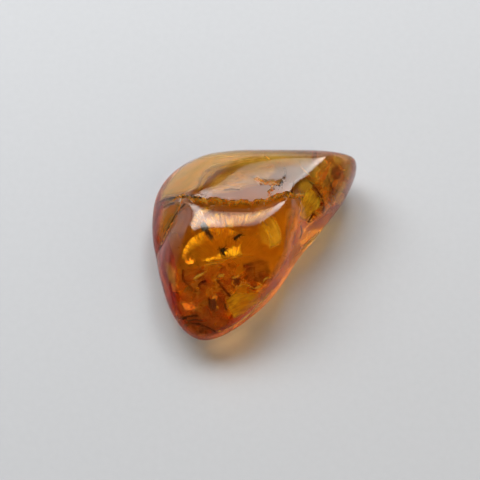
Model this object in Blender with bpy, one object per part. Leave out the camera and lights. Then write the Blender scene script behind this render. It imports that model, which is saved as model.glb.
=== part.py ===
"""A tumbled and polished nugget of amber, lying on its flattest side.

The stone is one solid. It has a round left end, a tail that points back and to the right, a domed
front that runs down to a blunt tip, and a nearly flat crown behind a fold that crosses the top.
Lengths are in millimetres until the mesh is made in metres. +Z is up, and the front is at -Y.
"""
import math

import bmesh
import bpy
import numpy as np

MM = 0.001
NAME = "amber_nugget"

# The rounded pebble before its flats were worn: its girth in plan, and how far it bulges up and down.
GIRTH = [  # anticlockwise, from the tip of the tail
    (17.5, 11.4), (16.6, 13.7), (14.0, 15.6), (10.5, 16.1), (4.0, 15.5), (-4.0, 14.9),
    (-9.2, 14.5), (-12.9, 12.9), (-15.6, 9.9), (-17.5, 5.0), (-17.9, -0.8), (-16.8, -6.5),
    (-14.9, -12.5), (-13.3, -17.0), (-11.6, -19.9), (-9.3, -21.2), (-6.2, -20.4), (-1.8, -17.4),
    (2.3, -13.5), (5.2, -9.3), (7.8, -4.9), (12.2, 1.2), (15.5, 6.2)]
GIRTH_HEIGHT = 5.2
GIRTH_CENTRE = (0.0, -0.6)
CROWN_RISE = 10.5
BELLY_DROP = 5.6
PLAN_FULLNESS = 2.3
RISE_FULLNESS = 2.1

# The flats worn on it: the bearing each one faces, its tilt from level, a point on it, and how
# softly it runs into its neighbours.
FLATS = [
    ("crown", 98, 8, (-1.5, 0.2, 13.2), 0.8),
    ("tail_side", -30, 36, (10.0, 3.5, 11.2), 0.8),
    ("front", -110, 25, (-3.0, -8.0, 11.2), 3.0),
    ("left_side", 186, 50, (-14.2, -1.0, 9.0), 2.5),
    ("back_left", 138, 38, (-10.2, 10.2, 10.0), 3.0),
    ("back_bevel", 103, 24, (2.0, 9.3, 12.3), 1.6),
    ("back", 88, 58, (2.0, 13.0, 9.8), 1.6),
    ("underside", 0, 180, (0.0, 0.0, 0.0), 0.5),
]

# The shallow troughs in its upper half. Each line is given as (along, across) points.
FOLD_LINE = [
    (-16.0, 1.4), (-12.6, 0.3), (-9.2, -0.7), (-5.8, -1.2), (-1.5, -0.9), (1.9, 0.1), (5.3, 1.9), (8.6, 3.8)]
RECESS_LINE = [(-7.5, 7.0), (-5.0, 7.7), (-2.4, 8.4), (0.2, 8.7), (3.0, 8.3), (5.5, 8.6)]
FLANK_LINE = [(-7.5, -17.6), (-5.0, -16.6), (-2.5, -15.0), (0.0, -13.4), (2.0, -12.0)]
FOLD_DEPTH = 0.8
RECESS_DEPTH = 1.1
FLANK_DEPTH = 0.6
TROUGHS_FADE = (3.0, 7.0)   # the heights between which the troughs come in

# The mesh: a cube of squares, blown out from a point inside the stone.
EYE = (-0.5, -1.5, 6.0)
SQUARES = 24
REACH = 40.0
HALVINGS = 40


def closed_curve(points, steps=16):
    """Points along the smooth closed curve through the given ones."""
    knots = np.array(points)
    share = (np.arange(steps) / steps)[:, None]
    stretches = []
    for i in range(len(knots)):
        before, start, end, after = (knots[(i + k) % len(knots)] for k in (-1, 0, 1, 2))
        stretches.append(0.5 * (
            2 * start + (end - before) * share
            + (2 * before - 5 * start + 4 * end - after) * share**2
            + (3 * start - 3 * end + after - before) * share**3))
    return np.concatenate(stretches)


def girth_radius(bearing):
    """How far the girth lies from its centre, at each bearing."""
    curve = closed_curve(GIRTH) - GIRTH_CENTRE
    return np.interp(
        bearing, np.arctan2(curve[:, 1], curve[:, 0]), np.hypot(curve[:, 0], curve[:, 1]),
        period=2 * math.pi)


def pebble(points):
    """Below zero inside the rounded pebble, above zero outside it."""
    x = points[:, 0] - GIRTH_CENTRE[0]
    y = points[:, 1] - GIRTH_CENTRE[1]
    rise = points[:, 2] - GIRTH_HEIGHT
    outward = np.hypot(x, y) / girth_radius(np.arctan2(y, x))
    upward = np.abs(rise / np.where(rise > 0, CROWN_RISE, BELLY_DROP))
    return 10 * ((outward**PLAN_FULLNESS + upward**RISE_FULLNESS)**(1 / 2.2) - 1)


def soft_maximum(first, second, width):
    """The greater of the two, with a round corner of the given width where they are close."""
    share = np.clip(0.5 + 0.5 * (first - second) / width, 0, 1)
    return second * (1 - share) + first * share + width * share * (1 - share)


def smooth_step(share):
    share = np.clip(share, 0, 1)
    return share * share * (3 - 2 * share)


def smooth_line(along, points):
    """The place across, at each place along, on the smooth line through the points."""
    knots, across = np.array(points).T
    slopes = np.gradient(across, knots)
    along = np.clip(along, knots[0], knots[-1])
    i = np.clip(np.searchsorted(knots, along, side="right") - 1, 0, len(knots) - 2)
    span = knots[i + 1] - knots[i]
    t = (along - knots[i]) / span
    return (
        (2 * t**3 - 3 * t**2 + 1) * across[i] + (t**3 - 2 * t**2 + t) * span * slopes[i]
        + (3 * t**2 - 2 * t**3) * across[i + 1] + (t**3 - t**2) * span * slopes[i + 1])


def trough(offset, depth, before, after):
    """A rounded trough's depth at a signed offset from its line, with a width on each side."""
    return depth * np.exp(-(offset / np.where(offset < 0, before, after))**2)


def between(along, start, end, fade_in, fade_out):
    return smooth_step((along - start) / fade_in) * smooth_step((end - along) / fade_out)


def stone(points):
    """Below zero inside the stone, above zero outside it."""
    x, y, z = points.T
    height = pebble(points)
    for _, bearing, tilt, place, width in FLATS:
        bearing, tilt = math.radians(bearing), math.radians(tilt)
        facing = (math.cos(bearing) * math.sin(tilt), math.sin(bearing) * math.sin(tilt), math.cos(tilt))
        height = soft_maximum(height, (points - place) @ np.array(facing), width)
    fold = trough(y - smooth_line(x, FOLD_LINE), FOLD_DEPTH, 2.4, 1.1) * between(x, -16, 9.5, 5, 4)
    recess = trough(x - smooth_line(y, RECESS_LINE), RECESS_DEPTH, 1.5, 1.9) * between(y, -9, 5, 4, 4)
    flank = trough(x - smooth_line(y, FLANK_LINE), FLANK_DEPTH, 1.6, 1.6) * between(y, -9, 2.5, 3, 4)
    low, high = TROUGHS_FADE
    return height + (fold + recess + flank) * smooth_step((z - low) / (high - low))


def surface_points(directions):
    """Where the rays from EYE leave the stone."""
    inside = np.zeros(len(directions))
    outside = np.full(len(directions), REACH)
    for _ in range(HALVINGS):
        middle = (inside + outside) / 2
        is_inside = stone(np.array(EYE) + middle[:, None] * directions) < 0
        inside = np.where(is_inside, middle, inside)
        outside = np.where(is_inside, outside, middle)
    points = np.array(EYE) + outside[:, None] * directions
    points[np.abs(points[:, 2]) < 1e-6, 2] = 0
    return points


def centred(points):
    """The points with the middle of their box over the origin."""
    middle = (points.min(axis=0) + points.max(axis=0)) / 2
    return points - (middle[0], middle[1], 0)


def make_nugget():
    bm = bmesh.new()
    bmesh.ops.create_cube(bm, size=2)
    bmesh.ops.subdivide_edges(bm, edges=bm.edges[:], cuts=SQUARES - 1, use_grid_fill=True)
    cube = np.array([vertex.co[:] for vertex in bm.verts])
    directions = np.tan(cube * math.pi / 4)
    directions /= np.linalg.norm(directions, axis=1)[:, None]
    for vertex, place in zip(bm.verts, centred(surface_points(directions)) * MM):
        vertex.co = place
    bmesh.ops.triangulate(bm, faces=bm.faces[:])
    bmesh.ops.recalc_face_normals(bm, faces=bm.faces[:])
    mesh = bpy.data.meshes.new(NAME)
    bm.to_mesh(mesh)
    bm.free()
    mesh.shade_smooth()
    return bpy.data.objects.new(NAME, mesh)


def make_amber():
    """Clear honey-coloured amber with a high polish."""
    material = bpy.data.materials.new("polished_amber")
    material.use_nodes = True
    surface = material.node_tree.nodes["Principled BSDF"]
    surface.inputs["Base Color"].default_value = (0.72, 0.30, 0.03, 1)
    surface.inputs["Roughness"].default_value = 0.06
    surface.inputs["Metallic"].default_value = 0.0
    surface.inputs["IOR"].default_value = 1.54
    surface.inputs["Transmission Weight"].default_value = 0.6
    return material


for old in list(bpy.data.objects):
    bpy.data.objects.remove(old)
collection = bpy.data.collections.new("insect_in_amber")
bpy.context.scene.collection.children.link(collection)
nugget = make_nugget()
nugget.data.materials.append(make_amber())
collection.objects.link(nugget)
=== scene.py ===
"""The looks of a polished amber nugget with three gnats sealed in it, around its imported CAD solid."""
import math

import bmesh
import bpy
import numpy as np
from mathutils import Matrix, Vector
from mathutils.bvhtree import BVHTree
from mathutils.geometry import delaunay_2d_cdt


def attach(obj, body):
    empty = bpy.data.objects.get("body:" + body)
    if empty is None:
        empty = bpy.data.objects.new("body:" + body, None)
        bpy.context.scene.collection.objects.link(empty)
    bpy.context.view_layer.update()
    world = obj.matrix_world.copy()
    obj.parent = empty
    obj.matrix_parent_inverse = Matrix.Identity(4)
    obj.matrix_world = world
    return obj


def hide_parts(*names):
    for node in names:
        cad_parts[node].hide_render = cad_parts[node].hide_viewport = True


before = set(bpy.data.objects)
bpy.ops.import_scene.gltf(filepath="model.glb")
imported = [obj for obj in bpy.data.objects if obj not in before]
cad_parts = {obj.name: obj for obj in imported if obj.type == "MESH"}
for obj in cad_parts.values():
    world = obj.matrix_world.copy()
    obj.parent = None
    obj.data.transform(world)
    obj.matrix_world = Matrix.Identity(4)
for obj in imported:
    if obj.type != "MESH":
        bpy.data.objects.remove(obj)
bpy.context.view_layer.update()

# The stone itself: one piece of fossil resin, ground by the sea, then tumbled and polished.
# Its crown has snapped along a fold, which leaves a low granular wall, a chip and a side crack.
# The shape is the CAD solid's own, worked out again on a finer grid, with the broken places, a
# fuller dome in front of the fold and a crown that is worn lower at its left end.
MM = 0.001
GIRTH = [  # in plan, in millimetres, anticlockwise from the tip of the tail
    (17.5, 11.4), (16.6, 13.7), (14.0, 15.6), (10.5, 16.1), (4.0, 15.5), (-4.0, 14.9),
    (-9.2, 14.5), (-12.9, 12.9), (-15.6, 9.9), (-17.5, 5.0), (-17.9, -0.8), (-16.8, -6.5),
    (-14.9, -12.5), (-13.3, -17.0), (-11.6, -19.9), (-9.3, -21.2), (-6.2, -20.4), (-1.8, -17.4),
    (2.3, -13.5), (5.2, -9.3), (7.8, -4.9), (12.2, 1.2), (15.5, 6.2)]
GIRTH_HEIGHT = 5.2
GIRTH_CENTRE = (0.0, -0.6)
CROWN_RISE = 10.5
BELLY_DROP = 5.6
PLAN_FULLNESS = 2.3
RISE_FULLNESS = 2.1
MEAN_FULLNESS = 2.2
PEBBLE_SLOPE = 10       # about how many millimetres one share of its size is
FLATS = [  # the bearing each one faces, its tilt from level, a point on it, how softly it ends
    ("crown", 98, 8, (-1.5, 0.2, 13.2), 0.8),
    ("tail_side", -30, 36, (10.0, 3.5, 11.2), 0.8),
    ("front", -110, 25, (-3.0, -8.0, 11.2), 3.0),
    ("left_side", 186, 50, (-14.2, -1.0, 9.0), 2.5),
    ("back_left", 138, 38, (-10.2, 10.2, 10.0), 3.0),
    ("back_bevel", 103, 24, (2.0, 9.3, 12.3), 1.6),
    ("back", 88, 58, (2.0, 13.0, 9.8), 1.6),
    ("underside", 0, 180, (0.0, 0.0, 0.0), 0.5),
]
FOLD_LINE = [
    (-16.0, 1.4), (-12.6, 0.3), (-9.2, -0.7), (-5.8, -1.2), (-1.5, -0.9), (1.9, 0.1), (5.3, 1.9), (8.6, 3.8)]
RECESS_LINE = [(-7.5, 7.0), (-5.0, 7.7), (-2.4, 8.4), (0.2, 8.7), (3.0, 8.3), (5.5, 8.6)]
FLANK_LINE = [(-7.5, -17.6), (-5.0, -16.6), (-2.5, -15.0), (0.0, -13.4), (2.0, -12.0)]
FOLD_DEPTH = 1.2
RECESS_DEPTH = 1.1
FLANK_DEPTH = 0.6
TROUGHS_FADE = (3.0, 7.0)       # the heights between which the troughs come in
FOLD_WIDTHS = (2.4, 1.1)        # on the two sides of its line
RECESS_WIDTHS = (1.5, 1.9)
FLANK_WIDTHS = (1.6, 1.6)
FOLD_STRETCH = (-16, 9.5, 5, 4)     # where it starts and ends, and how softly at each end
RECESS_STRETCH = (-9, 5, 4, 4)
FLANK_STRETCH = (-9, 2.5, 3, 4)

BREAK_LINE = [
    (-16.8, 4.6), (-15.1, 3.5), (-11.7, 2.6), (-9.2, 1.45), (-6.5, 0.85), (-4.0, 0.75), (-1.5, 0.5),
    (0.5, 0.6), (3.0, 1.3), (4.4, 1.8), (6.0, 2.2), (7.8, 2.6)]
WALL_RUN = 0.2
WALL_DROPS = [  # places along the wall, and how deep its foot lies there
    (-16, 0.3), (-12, 0.6), (-8, 1.1), (1, 1.1), (4, 0.95), (8, 0.8)]
WALL_FADE = 1.7         # how fast the surface rises again, towards the dome
WALL_STRETCH = (-17.0, 9.0, 9.0, 2.5)       # where each starts and ends, and how softly
BREAK_STRETCH = (-17.5, 9.0, 3.0, 2.5)
LIP_STRETCH = (-12.0, -2.0, 2.0, 2.0)
LIP_BACK = 0.55         # how far behind the break the lip stands
LIP_WIDTH = 0.3
LIP_RISE = 0.05
DOME_BULGE = 0.9
DOME_BULGE_CENTRE = (-5.6, -5.2)
DOME_BULGE_REACH = (7.0, 3.2)
LEFT_CRACK_DEPTH = 0.16     # where the fold is only a crack, at the left end
CHIP_LINES = [  # each with its half-width at its start, middle and end
    ([(0.1, 5.3), (0.9, 4.95), (1.5, 4.5), (2.3, 4.35), (3.0, 4.5), (3.9, 4.2)], (0.05, 0.34, 0.28)),
    ([(1.6, 4.4), (1.2, 4.0), (0.9, 3.9)], (0.12, 0.08, 0.02)),
    ([(3.3, 4.1), (2.8, 3.5), (2.9, 2.9), (2.4, 2.5), (2.5, 1.8)], (0.08, 0.13, 0.22)),
    ([(3.9, 4.3), (4.5, 4.7), (4.9, 5.4)], (0.12, 0.06, 0.02))]
CHIP_DEPTH = 0.34
SIDE_CRACK = [(-11.9, 2.4), (-12.7, 0.6), (-14.3, -1.5), (-15.3, -3.2), (-16.0, -4.5), (-16.6, -5.4)]
SIDE_CRACK_DEPTH = 0.18
SIDE_CRACK_WIDTH = 0.2
SIDE_CRACK_ROUGHNESS = 0.6
CROWN_SAG = 0.35        # the crown's left end has been worn a little lower
CROWN_SAG_START = (-1, 1)
CROWN_SAG_FADE = (9, 8)
UNDERSIDE_WEAR = 0.0009   # in metres, the height below which the polish has worn off

EYE = (-0.5, -1.5, 6.0)      # the place inside from which the surface is looked for
REACH = 40.0
HALVINGS = 26
LEVEL_SLACK = 1e-4      # a place this near to the board lies on it
SQUARES = 126


def closed_curve(points, steps=16):
    """Points along the smooth closed curve through the given ones."""
    knots = np.array(points)
    share = (np.arange(steps) / steps)[:, None]
    stretches = []
    for i in range(len(knots)):
        before, start, end, after = (knots[(i + k) % len(knots)] for k in (-1, 0, 1, 2))
        stretches.append(0.5 * (
            2 * start + (end - before) * share
            + (2 * before - 5 * start + 4 * end - after) * share**2
            + (3 * start - 3 * end + after - before) * share**3))
    return np.concatenate(stretches)


def girth_radius(bearing):
    curve = closed_curve(GIRTH) - GIRTH_CENTRE
    return np.interp(
        bearing, np.arctan2(curve[:, 1], curve[:, 0]), np.hypot(curve[:, 0], curve[:, 1]),
        period=2 * math.pi)


def pebble(points):
    """Below zero inside the rounded pebble, above zero outside it."""
    x = points[:, 0] - GIRTH_CENTRE[0]
    y = points[:, 1] - GIRTH_CENTRE[1]
    rise = points[:, 2] - GIRTH_HEIGHT
    outward = np.hypot(x, y) / girth_radius(np.arctan2(y, x))
    upward = np.abs(rise / np.where(rise > 0, CROWN_RISE, BELLY_DROP))
    return PEBBLE_SLOPE * ((outward**PLAN_FULLNESS + upward**RISE_FULLNESS)**(1 / MEAN_FULLNESS) - 1)


def soft_maximum(first, second, width):
    share = np.clip(0.5 + 0.5 * (first - second) / width, 0, 1)
    return second * (1 - share) + first * share + width * share * (1 - share)


def smooth_step(share):
    share = np.clip(share, 0, 1)
    return share * share * (3 - 2 * share)


def smooth_line(along, points):
    """The place across, at each place along, on the smooth line through the points."""
    knots, across = np.array(points).T
    slopes = np.gradient(across, knots)
    along = np.clip(along, knots[0], knots[-1])
    i = np.clip(np.searchsorted(knots, along, side="right") - 1, 0, len(knots) - 2)
    span = knots[i + 1] - knots[i]
    t = (along - knots[i]) / span
    return (
        (2 * t**3 - 3 * t**2 + 1) * across[i] + (t**3 - 2 * t**2 + t) * span * slopes[i]
        + (3 * t**2 - 2 * t**3) * across[i + 1] + (t**3 - t**2) * span * slopes[i + 1])


def trough(offset, depth, before, after):
    return depth * np.exp(-(offset / np.where(offset < 0, before, after))**2)


def between(along, start, end, fade_in, fade_out):
    return smooth_step((along - start) / fade_in) * smooth_step((end - along) / fade_out)


def jagged(along):
    """A break's wandering, as several unrelated ripples of falling size."""
    return (
        0.24 * np.sin(1.9 * along + 1.3 * np.sin(0.7 * along)) + 0.12 * np.sin(5.3 * along + 1.0)
        + 0.07 * np.sin(11.7 * along + 2.0) + 0.04 * np.sin(23.1 * along))


def plan_distance(x, y, line):
    """The distance in plan to a line through the points, and how far along it the nearest place is."""
    nearest = np.full(x.shape, np.inf)
    share_along = np.zeros(x.shape)
    for i, ((ax, ay), (bx, by)) in enumerate(zip(line, line[1:])):
        share = np.clip(((x - ax) * (bx - ax) + (y - ay) * (by - ay)) / ((bx - ax)**2 + (by - ay)**2), 0, 1)
        away = np.hypot(x - ax - share * (bx - ax), y - ay - share * (by - ay))
        share_along = np.where(away < nearest, (i + share) / (len(line) - 1), share_along)
        nearest = np.minimum(nearest, away)
    return nearest, share_along


def in_upper_half(z):
    low, high = TROUGHS_FADE
    return smooth_step((z - low) / (high - low))


def breaks(x, y, z):
    """How far the broken places lower the surface, and how rough it is there, from 0 to 1."""
    upper = in_upper_half(z)
    present = between(x, *WALL_STRETCH) * upper
    crack = between(x, *BREAK_STRETCH) * upper
    along_line = smooth_line(x, BREAK_LINE)
    ahead = along_line + jagged(x) - y
    in_front = smooth_step(ahead / WALL_RUN + 0.5)
    fading = np.exp(-np.maximum(along_line - y, 0) / WALL_FADE)
    drop = np.interp(x, *np.array(WALL_DROPS).T) * in_front * fading * present
    lip = LIP_RISE * np.exp(-((ahead + LIP_BACK) / LIP_WIDTH)**2) * present * between(x, *LIP_STRETCH)
    rough = 4 * in_front * (1 - in_front) * crack
    drop = drop + LEFT_CRACK_DEPTH * rough * (1 - present)
    for line, widths in CHIP_LINES:
        away, along = plan_distance(x, y, line)
        width = np.interp(along, (0, 0.5, 1), widths)
        ragged = 0.14 * np.sin(9 * x + 7 * y) + 0.10 * np.sin(17 * x - 13 * y)
        pit = smooth_step(1.5 - (away + ragged) / width) * upper
        drop = np.maximum(drop, CHIP_DEPTH * pit)
        rough = np.maximum(rough, pit)
    away, _ = plan_distance(x + 0.1 * np.sin(4 * y), y, SIDE_CRACK)
    seam = np.exp(-(away / SIDE_CRACK_WIDTH)**2) * upper
    drop = drop + SIDE_CRACK_DEPTH * seam
    rough = np.maximum(rough, SIDE_CRACK_ROUGHNESS * seam)
    return drop - lip, rough, present


def stone_height(points):
    """Below zero inside the stone, above zero outside it."""
    x, y, z = points.T
    height = pebble(points)
    for _, bearing, tilt, spot, width in FLATS:
        bearing, tilt = math.radians(bearing), math.radians(tilt)
        facing = (math.cos(bearing) * math.sin(tilt), math.sin(bearing) * math.sin(tilt), math.cos(tilt))
        height = soft_maximum(height, (points - spot) @ np.array(facing), width)
    drop, _, snapped = breaks(x, y, z)
    fold = trough(y - smooth_line(x, FOLD_LINE), FOLD_DEPTH, *FOLD_WIDTHS)
    fold = fold * between(x, *FOLD_STRETCH)
    recess = trough(x - smooth_line(y, RECESS_LINE), RECESS_DEPTH, *RECESS_WIDTHS)
    recess = recess * between(y, *RECESS_STRETCH)
    flank = trough(x - smooth_line(y, FLANK_LINE), FLANK_DEPTH, *FLANK_WIDTHS)
    flank = flank * between(y, *FLANK_STRETCH)
    leftward = smooth_step((CROWN_SAG_START[0] - x) / CROWN_SAG_FADE[0])
    backward = smooth_step((y - CROWN_SAG_START[1]) / CROWN_SAG_FADE[1])
    sag = CROWN_SAG * leftward * backward
    across = (x - DOME_BULGE_CENTRE[0]) / DOME_BULGE_REACH[0]
    along = (y - DOME_BULGE_CENTRE[1]) / DOME_BULGE_REACH[1]
    bulge = DOME_BULGE * np.exp(-across**2 - along**2)
    return height + (fold * (1 - snapped) + recess + flank + sag - bulge) * in_upper_half(z) + drop


def mesh_of(bm, name):
    """The built form as a mesh whose faces all look outwards."""
    bmesh.ops.recalc_face_normals(bm, faces=bm.faces[:])
    mesh = bpy.data.meshes.new(name)
    bm.to_mesh(mesh)
    bm.free()
    return mesh


def mark(mesh, name, values):
    """Gives each vertex a number for a material to read."""
    mesh.attributes.new(name, "FLOAT", "POINT").data.foreach_set("value", values)


def blown_cube(name, squares):
    """A cube of squares blown out from EYE to the stone's surface, with its vertices' places in mm."""
    bm = bmesh.new()
    bmesh.ops.create_cube(bm, size=2)
    bmesh.ops.subdivide_edges(bm, edges=bm.edges[:], cuts=squares - 1, use_grid_fill=True)
    mesh = mesh_of(bm, name)
    cube = np.empty(3 * len(mesh.vertices))
    mesh.vertices.foreach_get("co", cube)
    directions = np.tan(cube.reshape(-1, 3) * math.pi / 4)
    directions /= np.linalg.norm(directions, axis=1)[:, None]
    inside = np.zeros(len(directions))
    outside = np.full(len(directions), REACH)
    for _ in range(HALVINGS):
        middle = (inside + outside) / 2
        is_inside = stone_height(np.array(EYE) + middle[:, None] * directions) < 0
        inside = np.where(is_inside, middle, inside)
        outside = np.where(is_inside, outside, middle)
    points = np.array(EYE) + outside[:, None] * directions
    points[np.abs(points[:, 2]) < LEVEL_SLACK, 2] = 0
    return mesh, points


stone_mesh, stone_points = blown_cube("amber_stone", SQUARES)
MIDDLE = (stone_points.min(axis=0) + stone_points.max(axis=0)) / 2 * (1, 1, 0)


def place(points):
    """The stone's own millimetres as metres in the frame."""
    return (np.asarray(points, dtype=float) - MIDDLE) * MM


stone_mesh.vertices.foreach_set("co", place(stone_points).ravel())
mark(stone_mesh, "broken", breaks(*stone_points.T)[1])
stone_mesh.shade_smooth()
stone_mesh.update()
amber_stone = bpy.data.objects.new("amber_stone", stone_mesh)
bpy.context.scene.collection.objects.link(amber_stone)


class Nodes:
    """Adds nodes to a material one after another, and links a socket wherever a value is one."""

    def __init__(self, name):
        self.material = bpy.data.materials.new(name)
        self.material.use_nodes = True
        self.tree = self.material.node_tree
        self.surface = self.tree.nodes["Principled BSDF"]
        self.output = self.tree.nodes["Material Output"]

    def set(self, node, **values):
        for key, value in values.items():
            socket = node.inputs[key.replace("_", " ")]
            if isinstance(value, bpy.types.NodeSocket):
                self.tree.links.new(value, socket)
            else:
                socket.default_value = value
        return node

    def add(self, kind, settings=None, **values):
        node = self.tree.nodes.new("ShaderNode" + kind)
        for key, value in (settings or {}).items():
            setattr(node, key, value)
        return self.set(node, **values)

    def noise(self, vector, scale, detail=2.0, **values):
        return self.add("TexNoise", Vector=vector, Scale=scale, Detail=detail, **values).outputs["Fac"]

    def spread(self, value, low, high, to_low, to_high):
        node = self.add("MapRange", Value=value)
        self.set(node, From_Min=low, From_Max=high, To_Min=to_low, To_Max=to_high)
        return node.outputs["Result"]

    def where(self):
        """The place on the object itself, in metres."""
        return self.add("TexCoord").outputs["Object"]

    def attribute(self, name):
        return self.add("Attribute", {"attribute_name": name}).outputs["Fac"]

    def tone(self, share, low, high, start=0.0, end=1.0):
        """A colour that goes from low to high while the share goes from start to end."""
        ramp = self.add("ValToRGB", Fac=share)
        for element, colour, position in zip(ramp.color_ramp.elements, (low, high), (start, end)):
            element.position = position
            element.color = (*colour, 1)
        return ramp.outputs["Color"]

    def maths(self, operation, first, second=0.0):
        node = self.add("Math", {"operation": operation})
        for socket, value in zip(node.inputs, (first, second)):
            if isinstance(value, bpy.types.NodeSocket):
                self.tree.links.new(value, socket)
            else:
                socket.default_value = value
        return node.outputs[0]


AMBER_IOR = 1.54
AMBER_TINT = (0.985, 0.80, 0.02, 1.0)
AMBER_DENSITY = 270.0


def polished_amber():
    """Clear resin with a tumbled polish: long soft ripples, faint scuffs, and a granular break."""
    nodes = Nodes("polished_amber")
    where = nodes.where()
    is_broken = nodes.attribute("broken")
    ripples = nodes.noise(where, 260.0, 2.0)
    scuffs = nodes.noise(where, 5200.0, 4.0)
    grains = nodes.add("TexVoronoi", Vector=where, Scale=2600.0).outputs["Distance"]
    crumbs = nodes.noise(where, 7000.0, 5.0)
    height = nodes.add("SeparateXYZ", Vector=where).outputs["Z"]
    worn = nodes.spread(height, 0.0, UNDERSIDE_WEAR, 0.38, 0.015)
    roughness = nodes.maths("MAXIMUM", nodes.spread(scuffs, 0.45, 0.75, 0.012, 0.04), worn)
    roughness = nodes.maths("MAXIMUM", roughness, nodes.spread(is_broken, 0.1, 0.8, 0.0, 0.30))
    long_waves = nodes.add("Bump", Strength=0.06, Distance=0.0004, Height=ripples)
    relief = nodes.maths("ADD", grains, crumbs)
    break_strength = nodes.spread(is_broken, 0.05, 0.6, 0.0, 0.9)
    broken_waves = nodes.add(
        "Bump", Strength=break_strength, Distance=0.00018, Height=relief, Normal=long_waves.outputs["Normal"])
    nodes.set(
        nodes.surface, Base_Color=(1.0, 0.97, 0.92, 1.0), Roughness=roughness, IOR=AMBER_IOR,
        Transmission_Weight=1.0, Normal=broken_waves.outputs["Normal"])
    body = nodes.add("VolumeAbsorption", Color=AMBER_TINT, Density=AMBER_DENSITY)
    nodes.tree.links.new(body.outputs["Volume"], nodes.output.inputs["Volume"])
    return nodes.material


stone_mesh.materials.append(polished_amber())
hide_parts("amber_nugget")
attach(amber_stone, "root")

# The camera stands in front, 60 degrees above the board, where the photograph was taken from.
# What is sealed in the stone is placed by where it shows in that photograph: a ray goes from the
# camera through a pixel, bends at the polished surface, and ends at the wanted depth in the resin.
PIXELS = 480
MM_A_PIXEL = 0.17
LENS = 120.0
SENSOR = 36.0
CAMERA_RISE = math.radians(60)
VIEW_CENTRE = (-2.38, 0.68)
LAMP_BEARING = math.radians(100)
LAMP_RISE = math.radians(48)
LAMP_AHEAD = Vector((math.cos(LAMP_BEARING), math.sin(LAMP_BEARING), 0))
LAMP_LEFTWARD = Vector((-LAMP_AHEAD.y, LAMP_AHEAD.x, 0))
LAMP_OUTWARD = LAMP_AHEAD * math.cos(LAMP_RISE) + Vector((0, 0, math.sin(LAMP_RISE)))
LAMP_AIM = (LAMP_OUTWARD + 0.34 * LAMP_LEFTWARD).normalized()     # its brighter part, left of its middle
BRING_IN = 0.01         # the share by which a pixel off the stone is brought towards the middle
NUDGE = 0.0001          # in millimetres, how far past a surface the next ray starts
MIRROR_ROUNDS = 5
camera_back = Vector((0, -math.cos(CAMERA_RISE), math.sin(CAMERA_RISE)))
camera_up = Vector((0, math.sin(CAMERA_RISE), math.cos(CAMERA_RISE)))
camera_distance = PIXELS * MM_A_PIXEL * MM * LENS / SENSOR
camera_data = bpy.data.cameras.new("camera")
camera_data.lens = LENS
camera_data.sensor_width = SENSOR
camera_data.clip_start = 0.005
camera = bpy.data.objects.new("camera", camera_data)
bpy.context.scene.collection.objects.link(camera)
aim = Vector((VIEW_CENTRE[0] * MM, 0, 0)) + camera_up * VIEW_CENTRE[1] * MM - Vector(MIDDLE) * MM
camera.location = aim + camera_back * camera_distance
camera.rotation_euler = (-camera_back).to_track_quat("-Z", "Y").to_euler()
bpy.context.scene.camera = camera
stone_tree = BVHTree.FromPolygons(
    [Vector(point) for point in place(stone_points)], [tuple(face.vertices) for face in stone_mesh.polygons])
camera_turn = camera.rotation_euler.to_matrix()


def bent_into_resin(direction, facing):
    slant = -direction.dot(facing)
    ratio = 1 / AMBER_IOR
    turned = ratio * slant - math.sqrt(1 - ratio**2 * (1 - slant**2))
    return (ratio * direction + turned * facing).normalized()


def look_in(across, down):
    """Where a pixel's ray meets the stone, which way the polished surface faces there, and how it goes on.

    A pixel just off the stone is brought in until its ray meets it.
    """
    start = None
    while start is None:
        shift = Vector((across - PIXELS / 2, PIXELS / 2 - down, 0)) * SENSOR / PIXELS
        ray = (camera_turn @ Vector((shift.x, shift.y, -LENS))).normalized()
        start, facing, _, _ = stone_tree.ray_cast(camera.location, ray)
        across += BRING_IN * (PIXELS / 2 - across)
        down += BRING_IN * (PIXELS / 2 - down)
    return start, facing, bent_into_resin(ray, facing)


def seen_at(across, down, depth):
    """The place in the frame that shows at a pixel, that many millimetres into the resin."""
    start, _, onward = look_in(across, down)
    return start + onward * depth * MM


def in_stone(spot):
    """Whether the way straight up from a place crosses the surface an odd number of times."""
    up = Vector((0, 0, 1))
    crossings = 0
    found = stone_tree.ray_cast(spot, up)[0]
    while found is not None:
        crossings += 1
        found = stone_tree.ray_cast(found + up * NUDGE * MM, up)[0]
    return crossings % 2 == 1


def kept_inside(spot, least):
    """The place itself, or the nearest one that is this many millimetres under the surface."""
    near, facing, _, gap = stone_tree.find_nearest(spot)
    return spot if gap > least * MM and in_stone(spot) else near - facing * least * MM


def mirror_facing(across, down, depth):
    """The way that a fracture faces inside the stone where it throws the lamp's light to the camera."""
    start, facing, onward = look_in(across, down)
    spot = start + onward * depth * MM
    for _ in range(MIRROR_ROUNDS):
        leaving = -bent_into_resin(-LAMP_AIM, facing)
        _, facing, _, _ = stone_tree.ray_cast(spot, leaving)
    return (leaving - onward).normalized()


# Three gnats, one 2.4 millimetres long and two of about 1.4, caught in the still runny resin.
# Every part of one is a small closed form: beaded feelers, round eyes, a humped chest, a ringed
# belly, jointed legs that end in thin feet, two veined wings and the club-shaped balancers.
GNAT_SIDES = 10


def open_curve(points, steps=6):
    """Points along the smooth open curve through the given ones."""
    knots = np.array(points, dtype=float)
    knots = np.vstack([2 * knots[0] - knots[1], knots, 2 * knots[-1] - knots[-2]])
    found = []
    for before, start, end, after in zip(knots, knots[1:], knots[2:], knots[3:]):
        for share in np.arange(steps) / steps:
            found.append(0.5 * (
                2 * start + (end - before) * share + (2 * before - 5 * start + 4 * end - after) * share**2
                + (3 * start - 3 * end + after - before) * share**3))
    return np.array(found + [knots[-2]])


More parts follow.
